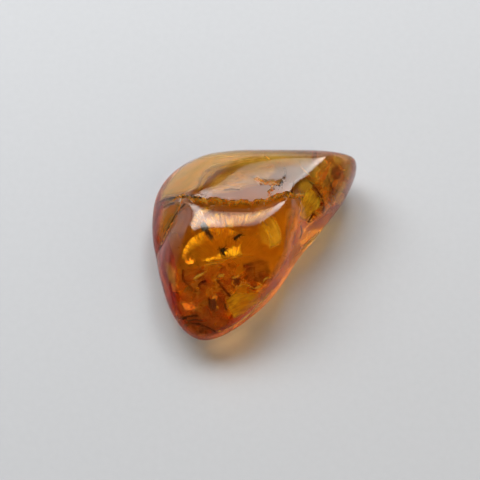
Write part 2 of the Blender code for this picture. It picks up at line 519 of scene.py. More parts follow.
def rod(bm, path, radii, sides, slot, flatness=1.0):
    """A closed round form along a path, with a radius at each of its points."""
    points = [Vector(point) for point in path]
    side = Vector((0.0, 1.0, 0.02))
    rings = []
    for i, (point, radius) in enumerate(zip(points, map(float, radii))):
        ahead = (points[min(i + 1, len(points) - 1)] - points[max(i - 1, 0)]).normalized()
        side = (side - side.dot(ahead) * ahead).normalized()
        over = ahead.cross(side)
        turns = [2 * math.pi * k / sides for k in range(sides)]
        rings.append([
            bm.verts.new(point + radius * (side * math.cos(turn) + over * math.sin(turn) * flatness))
            for turn in turns])
    faces = []
    for ring, following in zip(rings, rings[1:]):
        for k in range(sides):
            after = (k + 1) % sides
            faces.append(bm.faces.new((ring[k], ring[after], following[after], following[k])))
    for ring, tip in ((rings[0], points[0]), (rings[-1], points[-1])):
        pole = bm.verts.new(tip)
        for k in range(sides):
            faces.append(bm.faces.new((ring[(k + 1) % sides], ring[k], pole)))
    for face in faces:
        face.material_index = slot
        face.smooth = True


def egg(bm, centre, size, slot, sides=GNAT_SIDES):
    """A rounded form, longest along X."""
    shares = np.linspace(0.03, 0.97, sides)
    path = [Vector(centre) + Vector((float(size[0] * math.cos(math.pi * share)), 0, 0)) for share in shares]
    rod(bm, path, [size[1] * math.sin(math.pi * share) for share in shares], sides, slot, size[2] / size[1])


CUTICLE, EYE_SLOT, WING_SLOT, VEIN_SLOT = range(4)


def add_leg(bm, hip, knee, ankle, toe, girth):
    """A bowed thigh and shin, and a beaded foot."""
    thigh = open_curve([hip, (np.array(hip) + knee) / 2 + (0, 0, 0.02), knee], 3)
    rod(bm, thigh, girth * (0.018 + 0.022 * np.sin(np.linspace(0.5, 2.9, len(thigh)))), 6, CUTICLE)
    shin = open_curve([knee, (np.array(knee) + ankle) / 2 + (0, 0, 0.008), ankle], 3)
    rod(bm, shin, girth * np.linspace(0.030, 0.022, len(shin)), 6, CUTICLE)
    foot = open_curve([ankle, (np.array(ankle) * 0.6 + np.array(toe) * 0.4) - (0, 0, 0.012), toe], 8)
    joints = 1 + 0.35 * np.cos(np.linspace(0, 10 * math.pi, len(foot)))
    rod(bm, foot, girth * np.linspace(0.019, 0.011, len(foot)) * joints, 6, CUTICLE)


def add_wing(bm, root, spread, lift, side):
    """A thin closed wing blade with raised veins, hinged at its root and swept back by an angle."""
    span, chord = 0.95, 0.16
    turned = Vector((-math.cos(spread), side * math.sin(spread), lift)).normalized()
    across = turned.cross(Vector((0, 0, 1))).normalized() * side
    over = turned.cross(across) * side

    def at(along, over_chord, raised=0.0):
        half = chord * (math.sin(math.pi * min(1.0, 0.06 + 0.94 * along)**0.62))**0.75
        bow = 0.035 * math.sin(math.pi * along) * over_chord
        return Vector(root) + turned * span * along + across * half * over_chord + over * (bow + raised)

    steps, ribs = 16, 8
    grid = {}
    for face_side in (0, 1):
        for i in range(steps + 1):
            for j in range(ribs + 1):
                on_edge = i in (0, steps) or j in (0, ribs)
                if on_edge and face_side == 1:
                    grid[1, i, j] = grid[0, i, j]
                    continue
                raised = 0.0 if on_edge else (0.003 if face_side == 0 else -0.003)
                grid[face_side, i, j] = bm.verts.new(at(0.02 + 0.97 * i / steps, 2 * j / ribs - 1, raised))
    for face_side in (0, 1):
        for i in range(steps):
            for j in range(ribs):
                corners = [grid[face_side, i + a, j + b] for a, b in ((0, 0), (1, 0), (1, 1), (0, 1))]
                face = bm.faces.new(corners if face_side == 0 else corners[::-1])
                face.material_index = WING_SLOT
                face.smooth = True
    for start, end in ((-0.94, -0.95), (-0.6, -0.75), (-0.3, -0.2), (0.05, 0.3), (0.35, 0.85)):
        shares = np.linspace(0.03, 0.95, 9)
        path = [at(share, start + (end - start) * share**1.5, 0.002) for share in shares]
        rod(bm, path, np.linspace(0.0065, 0.003, len(path)), 5, VEIN_SLOT)


def gnat_mesh(name, slimness, wing_spread, leg_reach, leg_girth, feeler_rise):
    """A gnat one unit long, head towards +X and back towards +Z."""
    bm = bmesh.new()
    belly = open_curve([
        (-0.04, 0, 0.02), (-0.22, 0, 0.035), (-0.42, 0, 0.01), (-0.58, 0, -0.05), (-0.66, 0, -0.08)], 9)
    share = np.linspace(0, 1, len(belly))
    rings = 1 + 0.09 * np.cos(share * 16 * math.pi)
    rod(bm, belly, slimness * 0.125 * np.sin(math.pi * (0.16 + 0.80 * share))**0.8 * rings, 12, CUTICLE)
    stout = 0.5 + 0.5 * slimness
    egg(bm, (0.08, 0, 0.05), (0.155 * stout, 0.115 * stout, 0.13 * stout), CUTICLE, 12)
    egg(bm, (-0.01, 0, 0.12), (0.075, 0.07, 0.05), CUTICLE)
    rod(bm, [(0.17, 0, 0.03), (0.21, 0, 0.01), (0.25, 0, -0.01)], [0.035, 0.028, 0.03], 8, CUTICLE)
    egg(bm, (0.27, 0, -0.02), (0.06, 0.075, 0.07), CUTICLE)
    for side in (-1, 1):
        egg(bm, (0.283, side * 0.045, -0.005), (0.045, 0.042, 0.055), EYE_SLOT, 12)
        feeler = open_curve([
            (0.315, side * 0.018, 0.01), (0.40, side * 0.06, 0.05 + feeler_rise),
            (0.50, side * 0.12, 0.04 + feeler_rise), (0.58, side * 0.19, feeler_rise)], 9)
        beads = 0.006 + 0.0045 * np.abs(np.cos(np.linspace(0, 13 * math.pi, len(feeler))))
        rod(bm, feeler, beads * np.linspace(1.3, 0.7, len(feeler)), 6, CUTICLE)
        palp = open_curve([
            (0.30, side * 0.012, -0.06), (0.315, side * 0.02, -0.10), (0.30, side * 0.03, -0.135)], 4)
        rod(bm, palp, np.linspace(0.011, 0.007, len(palp)), 6, CUTICLE)
        balancer = open_curve([
            (-0.03, side * 0.08, 0.05), (-0.07, side * 0.125, 0.045), (-0.10, side * 0.15, 0.04)], 4)
        rod(bm, balancer, [0.005, 0.005, 0.006, 0.008, 0.013, 0.020, 0.023, 0.018, 0.010], 6, CUTICLE)
        add_wing(bm, (0.03, side * 0.055, 0.135), wing_spread, 0.05, side)
        for hip, outward, forward in ((0.15, 0.22, 0.26), (0.07, 0.27, -0.02), (-0.01, 0.24, -0.30)):
            wander = 0.05 * math.sin(17 * hip + 3 * side)
            knee = (hip + forward * 0.55, side * outward * leg_reach, -0.02 + wander)
            ankle = (hip + forward * 1.25 + wander, side * (outward + 0.11) * leg_reach, -0.20)
            toe = (hip + forward * 1.9, side * (outward + 0.05 + wander) * leg_reach, -0.30 + wander)
            add_leg(bm, (hip, side * 0.05, -0.05), knee, ankle, toe, leg_girth)
    return mesh_of(bm, name)


def dark_cuticle():
    """Shrunken, blackened body wall with a faint brown bloom and fine pits."""
    nodes = Nodes("dark_cuticle")
    where = nodes.where()
    bloom = nodes.noise(where, 9000.0, 4.0)
    tone = nodes.tone(bloom, (0.006, 0.004, 0.003), (0.05, 0.022, 0.008), 0.42, 0.75)
    pits = nodes.add("Bump", Strength=0.5, Distance=0.00001, Height=nodes.noise(where, 40000.0, 2.0))
    nodes.set(
        nodes.surface, Base_Color=tone, Roughness=nodes.spread(bloom, 0.3, 0.7, 0.25, 0.5),
        Normal=pits.outputs["Normal"])
    return nodes.material


def faceted_eye():
    nodes = Nodes("faceted_eye")
    where = nodes.where()
    facets = nodes.add("TexVoronoi", Vector=where, Scale=60000.0).outputs["Distance"]
    domes = nodes.add("Bump", Strength=0.7, Distance=0.000008, Height=nodes.maths("MULTIPLY", facets, -1.0))
    nodes.set(
        nodes.surface, Base_Color=(0.02, 0.004, 0.002, 1), Roughness=0.18, Normal=domes.outputs["Normal"])
    return nodes.material


def wing_film():
    """Thin brownish wing skin, more see-through between the veins."""
    nodes = Nodes("wing_film")
    where = nodes.where()
    haze = nodes.noise(where, 6000.0, 3.0)
    nodes.set(
        nodes.surface, Base_Color=(0.16, 0.09, 0.04, 1), Roughness=0.22,
        Alpha=nodes.spread(haze, 0.3, 0.7, 0.12, 0.30))
    return nodes.material


def wing_vein():
    nodes = Nodes("wing_vein")
    where = nodes.where()
    tone = nodes.tone(nodes.noise(where, 12000.0), (0.02, 0.01, 0.005), (0.08, 0.04, 0.015))
    nodes.set(nodes.surface, Base_Color=tone, Roughness=0.4)
    return nodes.material


gnat_finishes = [dark_cuticle(), faceted_eye(), wing_film(), wing_vein()]
camera_right = camera_turn @ Vector((1, 0, 0))


def seal_in(mesh):
    """Shows a finished mesh as a piece that moves with the stone."""
    piece = bpy.data.objects.new(mesh.name, mesh)
    bpy.context.scene.collection.objects.link(piece)
    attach(piece, "root")
    return piece


def lying(heading):
    """The ways forward and sideways of a body that lies flat to the camera at a heading in degrees."""
    heading = math.radians(heading)
    forward = camera_right * math.cos(heading) + camera_up * math.sin(heading)
    return forward, camera_back.cross(forward)


def lay_gnat(mesh, pixel, depth, heading, roll, length):
    """Turns a gnat so that its head points to a heading seen from the camera, and seals it in."""
    roll = math.radians(roll)
    forward, beside = lying(heading)
    back = camera_back * math.cos(roll) + beside * math.sin(roll)
    left = back.cross(forward)
    spot = seen_at(*pixel, depth)
    for vertex in mesh.vertices:
        x, y, z = vertex.co * length * MM
        vertex.co = spot + forward * x + left * y + back * z
    for finish in gnat_finishes:
        mesh.materials.append(finish)
    return seal_in(mesh)


GNATS = [  # slimness, wing spread, leg reach and girth, feeler rise; pixel, depth, heading, roll, length
    ("gnat_filmed", (0.7, 0.03, 0.35, 1.0, 0.0), ((206.0, 229.6), 1.3, 130, 25, 2.4)),
    ("gnat_black", (1.45, 0.36, 1.9, 2.2, 0.03), ((222.6, 250.4), 2.4, 106, 42, 1.3)),
    ("gnat_slender", (1.3, 0.04, 0.2, 1.2, -0.02), ((238.9, 236.0), 2.0, 31, 80, 1.45))]
for name, build, lie in GNATS:
    lay_gnat(gnat_mesh(name, *build), *lie)

# The pale film on the first gnat: a skin of gas and mould that the drowning insect gave off.
# It clings to the head and chest as a lumpy closed blister, and thins out along the belly.
FILM_PIXEL = (204.6, 227.4)
FILM_DEPTH = 0.95
FILM_SIZE = (0.86, 0.68, 0.36)
FILM_HEADING = 122


def milky_film():
    nodes = Nodes("milky_film")
    where = nodes.where()
    clouds = nodes.noise(where, 3500.0, 4.0)
    tone = nodes.tone(clouds, (0.13, 0.14, 0.18), (0.36, 0.38, 0.46))
    nodes.set(
        nodes.surface, Base_Color=tone, Roughness=0.45, Alpha=nodes.spread(clouds, 0.25, 0.4, 0.85, 1.0))
    return nodes.material


def film_mesh():
    bm = bmesh.new()
    bmesh.ops.create_icosphere(bm, subdivisions=4, radius=1.0)
    forward, beside = lying(FILM_HEADING)
    spot = seen_at(*FILM_PIXEL, FILM_DEPTH)
    for vertex in bm.verts:
        x, y, z = vertex.co
        lumps = (
            1 + 0.10 * math.sin(5 * x + 3 * y) + 0.07 * math.sin(9 * y + 7 * z)
            + 0.05 * math.sin(13 * z + 11 * x))
        narrow = 0.75 + 0.25 * x
        round_it = beside * y * FILM_SIZE[1] + camera_back * z * FILM_SIZE[2]
        vertex.co = spot + MM * lumps * (forward * x * FILM_SIZE[0] + round_it * narrow)
    mesh = mesh_of(bm, "gnat_film")
    mesh.shade_smooth()
    mesh.materials.append(milky_film())
    return mesh


seal_in(film_mesh())

# The fractures under the dome and in the tail: where one flow of resin cooled on another, or where
# the stone later sprang loose inside. Each is a gas-thin closed skin with fine hackle lines across
# it. Most lie at the slant that throws the lamp's light forward, so that they glow gold.
SKIN_THICKNESS = 0.03
SKIN_GRID = 1.3            # in pixels, as is the step along an outline
OUTLINE_STEP = 4.0
BAND_ROWS = 13
BAND_CUP = 0.06            # how far a band's sides bend down, in millimetres
SHALLOWEST = 0.3
SKIN_COVER = 0.08          # the least resin over a skin, in millimetres
DOME_FOCUS = (231, 268)    # the pixel from which the hackle lines fan out
BAND_FOCUS = (240, 245)
OUTER_ARC = [(183, 260), (186, 252), (193, 244.5), (203, 239), (214, 235.6), (226, 234), (238, 234)]
INNER_ARC = [
    (198, 260.5), (207, 257.5), (214, 255.5), (219, 252.5), (223, 248.5), (226, 249.5), (228, 245.5),
    (230.5, 247.5), (233, 244.5), (236, 246), (238.5, 243.2), (241.5, 243.8), (242.6, 249),
    (243.5, 255.5), (239, 256), (236, 258.5), (231, 257.5), (226, 260), (218, 260), (208, 262.5)]
SIDE_BAND = [
    (258, 219), (264, 215), (270, 214), (276, 219), (280, 226), (282.5, 233), (283.5, 241), (279, 247),
    (270, 249), (262, 244), (257, 234)]
LEFT_YELLOW = [
    (192, 232), (191, 222), (194, 213), (201, 207), (209, 205.5), (216, 207), (209, 212), (201, 219),
    (197, 228)]
CREST_SHEET = [
    (196, 228), (199, 217), (209, 210.5), (228, 212), (250, 211.5), (268, 206.5), (276, 207), (264, 217),
    (250, 224), (228, 229), (206, 231)]
DOME_SHEET = [
    (184, 264), (188, 246), (200, 234), (222, 228), (248, 226), (272, 230), (284, 244), (276, 258),
    (256, 256), (236, 260), (210, 264)]
FRONT_YELLOW = [
    (225, 299), (229, 310), (233.5, 320), (238, 317), (244, 315), (251, 309), (261, 302), (269, 294),
    (260, 290), (247, 292), (235, 293)]
RECESS_GOLD = [
    (311, 185), (317, 192), (321, 200), (320.5, 208), (312, 215), (303, 227), (299, 217), (298.5, 204),
    (304, 193)]
TAIL_GOLD = [(336, 193), (341, 190), (346, 193), (345, 200), (339, 206), (334, 203)]
RED_GLOW = [(180, 302), (187, 300), (195, 303), (198, 309), (190, 313), (183, 312)]
SPIKES = [
    (184, 262), (186, 255), (188.5, 260), (190, 252.5), (192.5, 260), (194.5, 255), (195, 264), (189, 266)]


def jagged_outline(outline, wander, seed):
    """Pixels a step apart along a closed outline, each moved a little at random."""
    chance = np.random.default_rng(seed)
    found = []
    for start, end in zip(outline, outline[1:] + outline[:1]):
        start, end = np.array(start), np.array(end)
        count = max(1, int(np.linalg.norm(end - start) / OUTLINE_STEP))
        found += [start + (end - start) * k / count for k in range(count)]
    return np.array(found) + chance.uniform(-wander, wander, (len(found), 2))


def strip(line, half_widths):
    """The closed outline of a strip along a line of pixels."""
    path = open_curve(line, 5)
    widths = np.interp(np.linspace(0, 1, len(path)), np.linspace(0, 1, len(half_widths)), half_widths)
    ahead = np.gradient(path, axis=0)
    beside = np.stack([-ahead[:, 1], ahead[:, 0]], axis=1)
    beside *= (widths / np.linalg.norm(beside, axis=1))[:, None]
    return [tuple(pixel) for pixel in np.vstack([path + beside, (path - beside)[::-1]])]


def filled(outline):
    """The triangles that fill a closed outline of pixels, which corners lie on it, and how far in each is."""
    low, high = outline.min(axis=0), outline.max(axis=0)
    rim = [Vector(pixel) for pixel in outline]
    inner = [
        Vector((float(across), float(down)))
        for across in np.arange(low[0] + SKIN_GRID / 2, high[0], SKIN_GRID)
        for down in np.arange(low[1] + SKIN_GRID / 2, high[1], SKIN_GRID)]
    pixels, _, faces, _, _, _ = delaunay_2d_cdt(rim + inner, [], [list(range(len(rim)))], 1, 1e-4)
    used = sorted({corner for face in faces for corner in face})
    number = {corner: i for i, corner in enumerate(used)}
    faces = [[number[corner] for corner in face] for face in faces]
    pixels = np.array([pixels[corner] for corner in used])
    sides = {}
    for face in faces:
        for a, b in zip(face, face[1:] + face[:1]):
            key = (min(a, b), max(a, b))
            sides[key] = sides.get(key, 0) + 1
    on_rim = {corner for key, count in sides.items() if count == 1 for corner in key}
    inward, _ = plan_distance(pixels[:, 0], pixels[:, 1], [tuple(point) for point in rim + rim[:1]])
    inward[list(on_rim)] = 0
    return pixels, faces, on_rim, inward * MM_A_PIXEL


def shard(name, outline, depth, finish, sprung=True, bow=0.0, fan=None, grain=0.0, wander=0.5, seed=1):
    """A closed skin that shows inside an outline of pixels.

    A sprung one is flat, and throws the lamp's light to the camera. Any other lies at one depth.
    """
    pixels, faces, on_rim, inward = filled(jagged_outline(list(outline), wander, seed))
    looks = [look_in(*pixel) for pixel in pixels]
    lift = bow * smooth_step(inward / max(inward.max(), 1e-6))
    if sprung:
        middle = pixels.mean(axis=0)
        spot, slant = seen_at(*middle, depth), mirror_facing(*middle, depth)
        travels = [(spot - start).dot(slant) / onward.dot(slant) / MM for start, _, onward in looks]
        facings = [slant] * len(looks)
    else:
        travels = [depth] * len(looks)
        facings = [facing for _, facing, _ in looks]
    top = [
        kept_inside(start + onward * max(travel, SHALLOWEST) * MM + facing * float(raised) * MM, SKIN_COVER)
        for (start, _, onward), travel, facing, raised in zip(looks, travels, facings, lift)]
    vertices = list(top)
    bottom = {}
    for i, facing in enumerate(facings):
        if i in on_rim:
            bottom[i] = i
        else:
            bottom[i] = len(vertices)
            vertices.append(top[i] - facing * SKIN_THICKNESS * MM)
    mesh = bpy.data.meshes.new(name)
    mesh.from_pydata(vertices, [], faces + [[bottom[i] for i in reversed(face)] for face in faces])
    if fan is None:
        turn = math.radians(grain)
        on_skin = np.stack([
            pixels[:, 0] * math.cos(turn) + pixels[:, 1] * math.sin(turn),
            pixels[:, 1] * math.cos(turn) - pixels[:, 0] * math.sin(turn)], axis=1) * MM_A_PIXEL
    else:
        from_focus = (pixels - fan) * MM_A_PIXEL
        radius = np.hypot(*from_focus.T)
        on_skin = np.stack([np.arctan2(from_focus[:, 1], from_focus[:, 0]) * radius.mean(), radius], axis=1)
    owner = {bottom[i]: i for i in range(len(pixels))}
    owner.update({i: i for i in range(len(pixels))})
    layer = mesh.uv_layers.new(name="skin")
    for loop, place_on_skin in zip(mesh.loops, layer.data):
        place_on_skin.uv = on_skin[owner[loop.vertex_index]]
    mark(mesh, "inward", [float(inward[owner[i]]) for i in range(len(vertices))])
    bm = bmesh.new()
    bm.from_mesh(mesh)
    bmesh.ops.recalc_face_normals(bm, faces=bm.faces[:])
    bm.to_mesh(mesh)
    bm.free()
    mesh.shade_smooth()
    mesh.materials.append(finish)
    return seal_in(mesh)


def sprung_fracture(name, dim, bright, hackle, clearness, softness, roughness, metal, across=None):
    """A gas-filled skin: golden in streaks, clearer between them and towards its rim or its inner side."""
    nodes = Nodes(name)
    on_skin = nodes.add("UVMap").outputs["UV"]
    stretched = nodes.add("Mapping", Vector=on_skin, Scale=hackle).outputs["Vector"]
    hackles = nodes.noise(stretched, 1.0, 4.0, Roughness=0.62)
    where = nodes.where()
    patches = nodes.noise(where, 480.0, 3.0)
    mixed = nodes.maths("MULTIPLY", nodes.maths("ADD", hackles, patches), 0.5)
    tone = nodes.tone(mixed, dim, bright, 0.38, 0.60)
    inward = nodes.attribute("inward")
    streaks = nodes.spread(hackles, 0.38, 0.62, *clearness)
    fading = nodes.maths(
        "MULTIPLY", nodes.spread(inward, 0.0, softness, 0.0, 1.0), nodes.spread(patches, 0.3, 0.5, 0.7, 1.0))
    if across is not None:
        outward = nodes.add("SeparateXYZ", Vector=on_skin).outputs["Y"]
        fading = nodes.maths("MULTIPLY", fading, nodes.spread(outward, *across, 0.0, 1.0))
    waves = nodes.add("Bump", Strength=0.3, Distance=0.00004, Height=hackles)
    nodes.set(
        nodes.surface, Base_Color=tone, Metallic=metal, Roughness=roughness,
        Alpha=nodes.maths("MULTIPLY", streaks, fading), Normal=waves.outputs["Normal"])
    return nodes.material


def thin_skin(name, rows_of_points, thickness):
    """A closed skin around a grid of points, tapered to nothing at its edges, with its own UV map."""
    points = np.array(rows_of_points)
    rows, columns = points.shape[:2]
    facing = np.cross(np.gradient(points, axis=1), np.gradient(points, axis=0))
    facing /= np.maximum(np.linalg.norm(facing, axis=2), 1e-12)[:, :, None]
    edge = np.ones((rows, columns), dtype=bool)
    edge[1:-1, 1:-1] = False
    top = np.where(edge[:, :, None], points, points + facing * thickness * MM / 2)
    vertices = [tuple(point) for point in top.reshape(-1, 3)]
    upper = np.arange(rows * columns).reshape(rows, columns)
    lower = upper.copy()
    for i, j in np.argwhere(~edge):
        lower[i, j] = len(vertices)
        vertices.append(tuple(points[i, j] - facing[i, j] * thickness * MM / 2))
    faces = []
    for i in range(rows - 1):
        for j in range(columns - 1):
            faces.append((upper[i, j], upper[i, j + 1], upper[i + 1, j + 1], upper[i + 1, j]))
            faces.append((lower[i + 1, j], lower[i + 1, j + 1], lower[i, j + 1], lower[i, j]))
    mesh = bpy.data.meshes.new(name)
    mesh.from_pydata(vertices, [], [tuple(int(corner) for corner in face) for face in faces])
    on_skin = {}
    for i in range(rows):
        for j in range(columns):
            on_skin[int(upper[i, j])] = on_skin[int(lower[i, j])] = (j / (columns - 1), i / (rows - 1))
    layer = mesh.uv_layers.new(name="skin")
    for loop, place_on_skin in zip(mesh.loops, layer.data):
        place_on_skin.uv = on_skin[loop.vertex_index]
    mesh.shade_smooth()
    return mesh


def mirror_band(name, line, half_widths, depth, finish):
    """A curved strip that turns as it goes, so that it throws the lamp's light forward all along."""
    path = open_curve(line, 6)
    widths = np.interp(np.linspace(0, 1, len(path)), np.linspace(0, 1, len(half_widths)), half_widths)
    spots = [seen_at(*path[0], depth)]
    facings = [mirror_facing(*path[0], depth)]
    for pixel in path[1:]:
        start, _, onward = look_in(*pixel)
        travel = (spots[-1] - start).dot(facings[-1]) / onward.dot(facings[-1])
        spots.append(start + onward * travel)
        facings.append(mirror_facing(*pixel, travel / MM))
    neighbours = zip(spots[:1] + spots, spots[1:] + spots[-1:])
    ahead = [(after - before).normalized() for before, after in neighbours]
    shares = np.linspace(-1, 1, BAND_ROWS)
    rows = [[
        spot + (facing.cross(forward) * float(width * share) - facing * BAND_CUP * float(share**2)) * MM
        for spot, facing, forward, width in zip(spots, facings, ahead, widths)] for share in shares]
    mesh = thin_skin(name, rows, SKIN_THICKNESS)
    run = np.concatenate([[0], np.cumsum([(b - a).length for a, b in zip(spots, spots[1:])])]) / MM
    full_width = 2 * float(widths.mean())
    for corner in mesh.uv_layers["skin"].data:
        along, across = corner.uv
        corner.uv = (float(np.interp(along, np.linspace(0, 1, len(run)), run)), full_width * across)
    from_ends = np.minimum(run, run[-1] - run)
    inward = np.minimum(1 - np.abs(shares)[:, None], from_ends[None, :]) * widths[None, :]
    edge = np.ones(inward.shape, dtype=bool)
    edge[1:-1, 1:-1] = False
    mark(mesh, "inward", np.concatenate([inward.ravel(), inward[~edge]]))
    mesh.materials.append(finish)
    return seal_in(mesh)


FRACTURE_LOOKS = [  # two tones, hackle scale, clearness, softness, roughness, metal, how it clears across
    ("orange_arcs", (1.0, 0.38, 0.015), (1.0, 0.66, 0.06), (5.0, 0.3, 1.0),
     (0.30, 1.0), 0.3, 0.36, 0.42, (0.1, 1.6)),
    ("orange_spikes", (1.0, 0.30, 0.02), (1.0, 0.56, 0.07), (7.0, 0.5, 1.0), (0.35, 1.0), 0.3, 0.35, 0.45),
    ("bright_arcs", (1.0, 0.46, 0.02), (1.0, 0.76, 0.08), (5.0, 0.35, 1.0), (0.15, 1.0), 0.5, 0.32, 0.4),
    ("yellow_band", (0.90, 0.56, 0.03), (1.0, 0.74, 0.07), (0.22, 1.8, 1.0),
     (0.60, 0.85), 0.8, 0.5, 0.1, (3.2, 6.6)),
    ("gold_streaks", (0.85, 0.38, 0.02), (1.0, 0.70, 0.08), (3.5, 0.4, 1.0), (0.15, 0.85), 0.5, 0.4, 0.2),
    ("dome_streaks", (0.95, 0.42, 0.01), (1.0, 0.60, 0.03), (0.9, 0.1, 1.0), (0.02, 0.30), 2.2, 0.5, 0.1),
    ("yellow_pane", (1.0, 0.46, 0.01), (1.0, 0.70, 0.03), (0.5, 1.8, 1.0), (0.60, 0.96), 0.35, 0.6, 0.0),
    ("hot_pane", (0.9, 0.10, 0.005), (1.0, 0.42, 0.03), (0.8, 1.6, 1.0), (0.5, 1.0), 0.6, 0.40, 0.5),
    ("crest_gold", (0.95, 0.40, 0.01), (1.0, 0.66, 0.05), (2.6, 0.35, 1.0), (0.10, 0.70), 0.9, 0.4, 0.25),
    ("yellow_flake", (0.90, 0.48, 0.01), (1.0, 0.72, 0.04), (0.6, 2.2, 1.0), (0.50, 0.98), 0.5, 0.55, 0.1)]
glow = {name: sprung_fracture(name, *look) for name, *look in FRACTURE_LOOKS}
shard("crest_sheet", CREST_SHEET, 2.2, glow["crest_gold"], fan=DOME_FOCUS)
shard("dome_sheet", DOME_SHEET, 5.0, glow["dome_streaks"], sprung=False, fan=DOME_FOCUS)
mirror_band("outer_arc", OUTER_ARC, (0.3, 0.6, 0.9, 1.1, 1.1, 0.9, 0.3), 3.2, glow["orange_arcs"])
shard("inner_arc", INNER_ARC, 3.6, glow["bright_arcs"], bow=0.05, fan=DOME_FOCUS)
shard("side_band", SIDE_BAND, 3.2, glow["yellow_band"], fan=BAND_FOCUS)
shard("left_yellow", LEFT_YELLOW, 1.4, glow["gold_streaks"], sprung=False, grain=-40)
shard("fan_spikes", SPIKES, 3.4, glow["orange_spikes"], bow=0.03, fan=DOME_FOCUS)
shard("front_yellow", FRONT_YELLOW, 2.4, glow["yellow_pane"], sprung=False, grain=-30)
shard("recess_gold", RECESS_GOLD, 1.3, glow["yellow_flake"], grain=-60)
shard("tail_gold", TAIL_GOLD, 1.2, glow["yellow_pane"], sprung=False, grain=-60)
shard("red_glow", RED_GLOW, 1.4, glow["hot_pane"], grain=-20)

# The clouded flows and stained veils: bands of resin full of bubbles too small to see, and sheets
# of iron and humus stain, laid down one over another. They scatter the light in soft patches, and
# are thin closed skins that follow the stone's surface at a depth of their own.
BEIGE = (0.80, 0.44, 0.08), (0.88, 0.60, 0.18)
OLIVE_GOLD = (0.62, 0.36, 0.03), (0.80, 0.52, 0.08)
YELLOW = (0.85, 0.46, 0.02), (1.0, 0.66, 0.04)
RED_BROWN = (0.72, 0.11, 0.003), (1.0, 0.29, 0.01)
RUST = (1.0, 0.27, 0.01), (1.0, 0.50, 0.03)
DARK_BROWN = (0.14, 0.022, 0.002), (0.38, 0.09, 0.005)
TAWNY = (0.70, 0.24, 0.03), (0.90, 0.42, 0.08)
VEILS = [  # depth, tones, thinnest and thickest cover, how softly it ends, drawn-out bearing, outline
    ("flow_back", 0.8, BEIGE, (0.45, 0.72), 0.9, 35, [
        (158, 208), (160, 190), (170, 176), (182, 163), (198, 155), (222, 153), (262, 153), (272, 156),
        (240, 163), (216, 167), (205, 174), (199, 189), (186, 195), (168, 198)]),
    ("flow_crescent", 1.4, OLIVE_GOLD, (0.35, 0.6), 0.5, 20, [
        (196, 190), (200, 178), (209, 168), (232, 161), (272, 155), (268, 159), (240, 165), (218, 171),
        (207, 181), (202, 191)]),
    ("flow_crown", 1.6, BEIGE, (0.2, 0.5), 1.0, 10, [
        (205, 192), (210, 179), (221, 171.5), (246, 166), (272, 161), (280, 172), (264, 184), (236, 193),
        (214, 196)]),
    ("left_olive", 0.7, YELLOW, (0.1, 0.4), 0.8, 75, [
        (162, 258), (171, 262), (178, 272), (179, 286), (172, 289), (166, 278)]),
    ("lower_stain", 2.0, RED_BROWN, (0.08, 0.5), 1.2, 35, [
        (178, 262), (206, 264), (232, 266), (244, 280), (236, 292), (226, 300), (228, 318), (212, 326),
        (190, 318), (176, 296), (174, 276)]),
    ("side_stain", 2.2, DARK_BROWN, (0.20, 0.55), 1.0, 20, [
        (240, 262), (258, 256), (270, 260), (274, 272), (266, 284), (250, 284), (242, 274)]),
    ("tip_stain", 1.2, RED_BROWN, (0.2, 0.65), 0.9, 10, [
        (172, 292), (190, 312), (216, 316), (230, 322), (218, 332), (198, 332), (184, 322), (175, 306)]),
    ("brown_block", 0.9, DARK_BROWN, (0.65, 0.95), 0.2, 80, [
        (209, 299), (216, 297.5), (217.5, 305), (215, 312.5), (210.5, 311)]),
    ("brown_box", 1.0, DARK_BROWN, (0.15, 0.5), 0.3, 30, [
        (232.5, 278), (240.5, 275.5), (241.5, 284), (235, 286.5)]),
    ("tail_stain", 1.1, RUST, (0.20, 0.62), 0.9, 55, [
        (314, 172), (330, 157), (345, 162), (349, 178), (341, 190), (331, 192), (330, 208), (318, 228),
        (308, 238), (306, 228), (322, 208), (318, 190)]),
    ("tail_blob", 0.8, DARK_BROWN, (0.3, 0.8), 0.5, 50, [
        (331, 166), (338, 164), (343, 171), (341, 180), (334, 181), (330, 174)]),
    ("side_tawny", 0.8, TAWNY, (0.30, 0.65), 0.7, 70, [
        (160, 210), (170, 202), (183, 203), (176, 218), (166, 240), (160, 252), (156, 232)]),
    ("flank_tawny", 1.0, TAWNY, (0.25, 0.60), 0.9, 70, [
        (284, 208), (296, 206), (299, 240), (290, 264), (276, 284), (266, 292), (270, 270), (282, 250)]),
    ("flank_stain", 0.8, RED_BROWN, (0.35, 0.72), 0.9, 50, [
        (297, 212), (309, 219), (324, 212), (338, 204), (334, 222), (321, 235), (308, 247), (300, 257),
        (292, 271), (278, 290), (262, 306), (256, 300), (258, 292), (272, 274), (284, 258), (292, 236)])]


def stained_veil(name, tones, cover, softness):
    nodes = Nodes(name)
    on_skin = nodes.add("UVMap").outputs["UV"]
    drawn_out = nodes.add("Mapping", Vector=on_skin, Scale=(0.25, 0.8, 1.0)).outputs["Vector"]
    veils = nodes.noise(drawn_out, 1.0, 5.0, Roughness=0.58)
    tone = nodes.tone(veils, *tones, 0.38, 0.62)
    inward = nodes.attribute("inward")
    fading = nodes.add("MapRange", {"interpolation_type": "SMOOTHSTEP"}, Value=inward)
    nodes.set(fading, From_Min=0.0, From_Max=softness, To_Min=0.0, To_Max=1.0)
    covering = nodes.spread(veils, 0.36, 0.64, cover[1], cover[0])
    nodes.set(
        nodes.surface, Base_Color=tone, Roughness=0.8,
        Alpha=nodes.maths("MULTIPLY", covering, fading.outputs["Result"]))
    return nodes.material


for name, depth, tones, cover, softness, bearing, outline in VEILS:
    shard(name, outline, depth, stained_veil(name, tones, cover, softness), sprung=False, grain=-bearing)

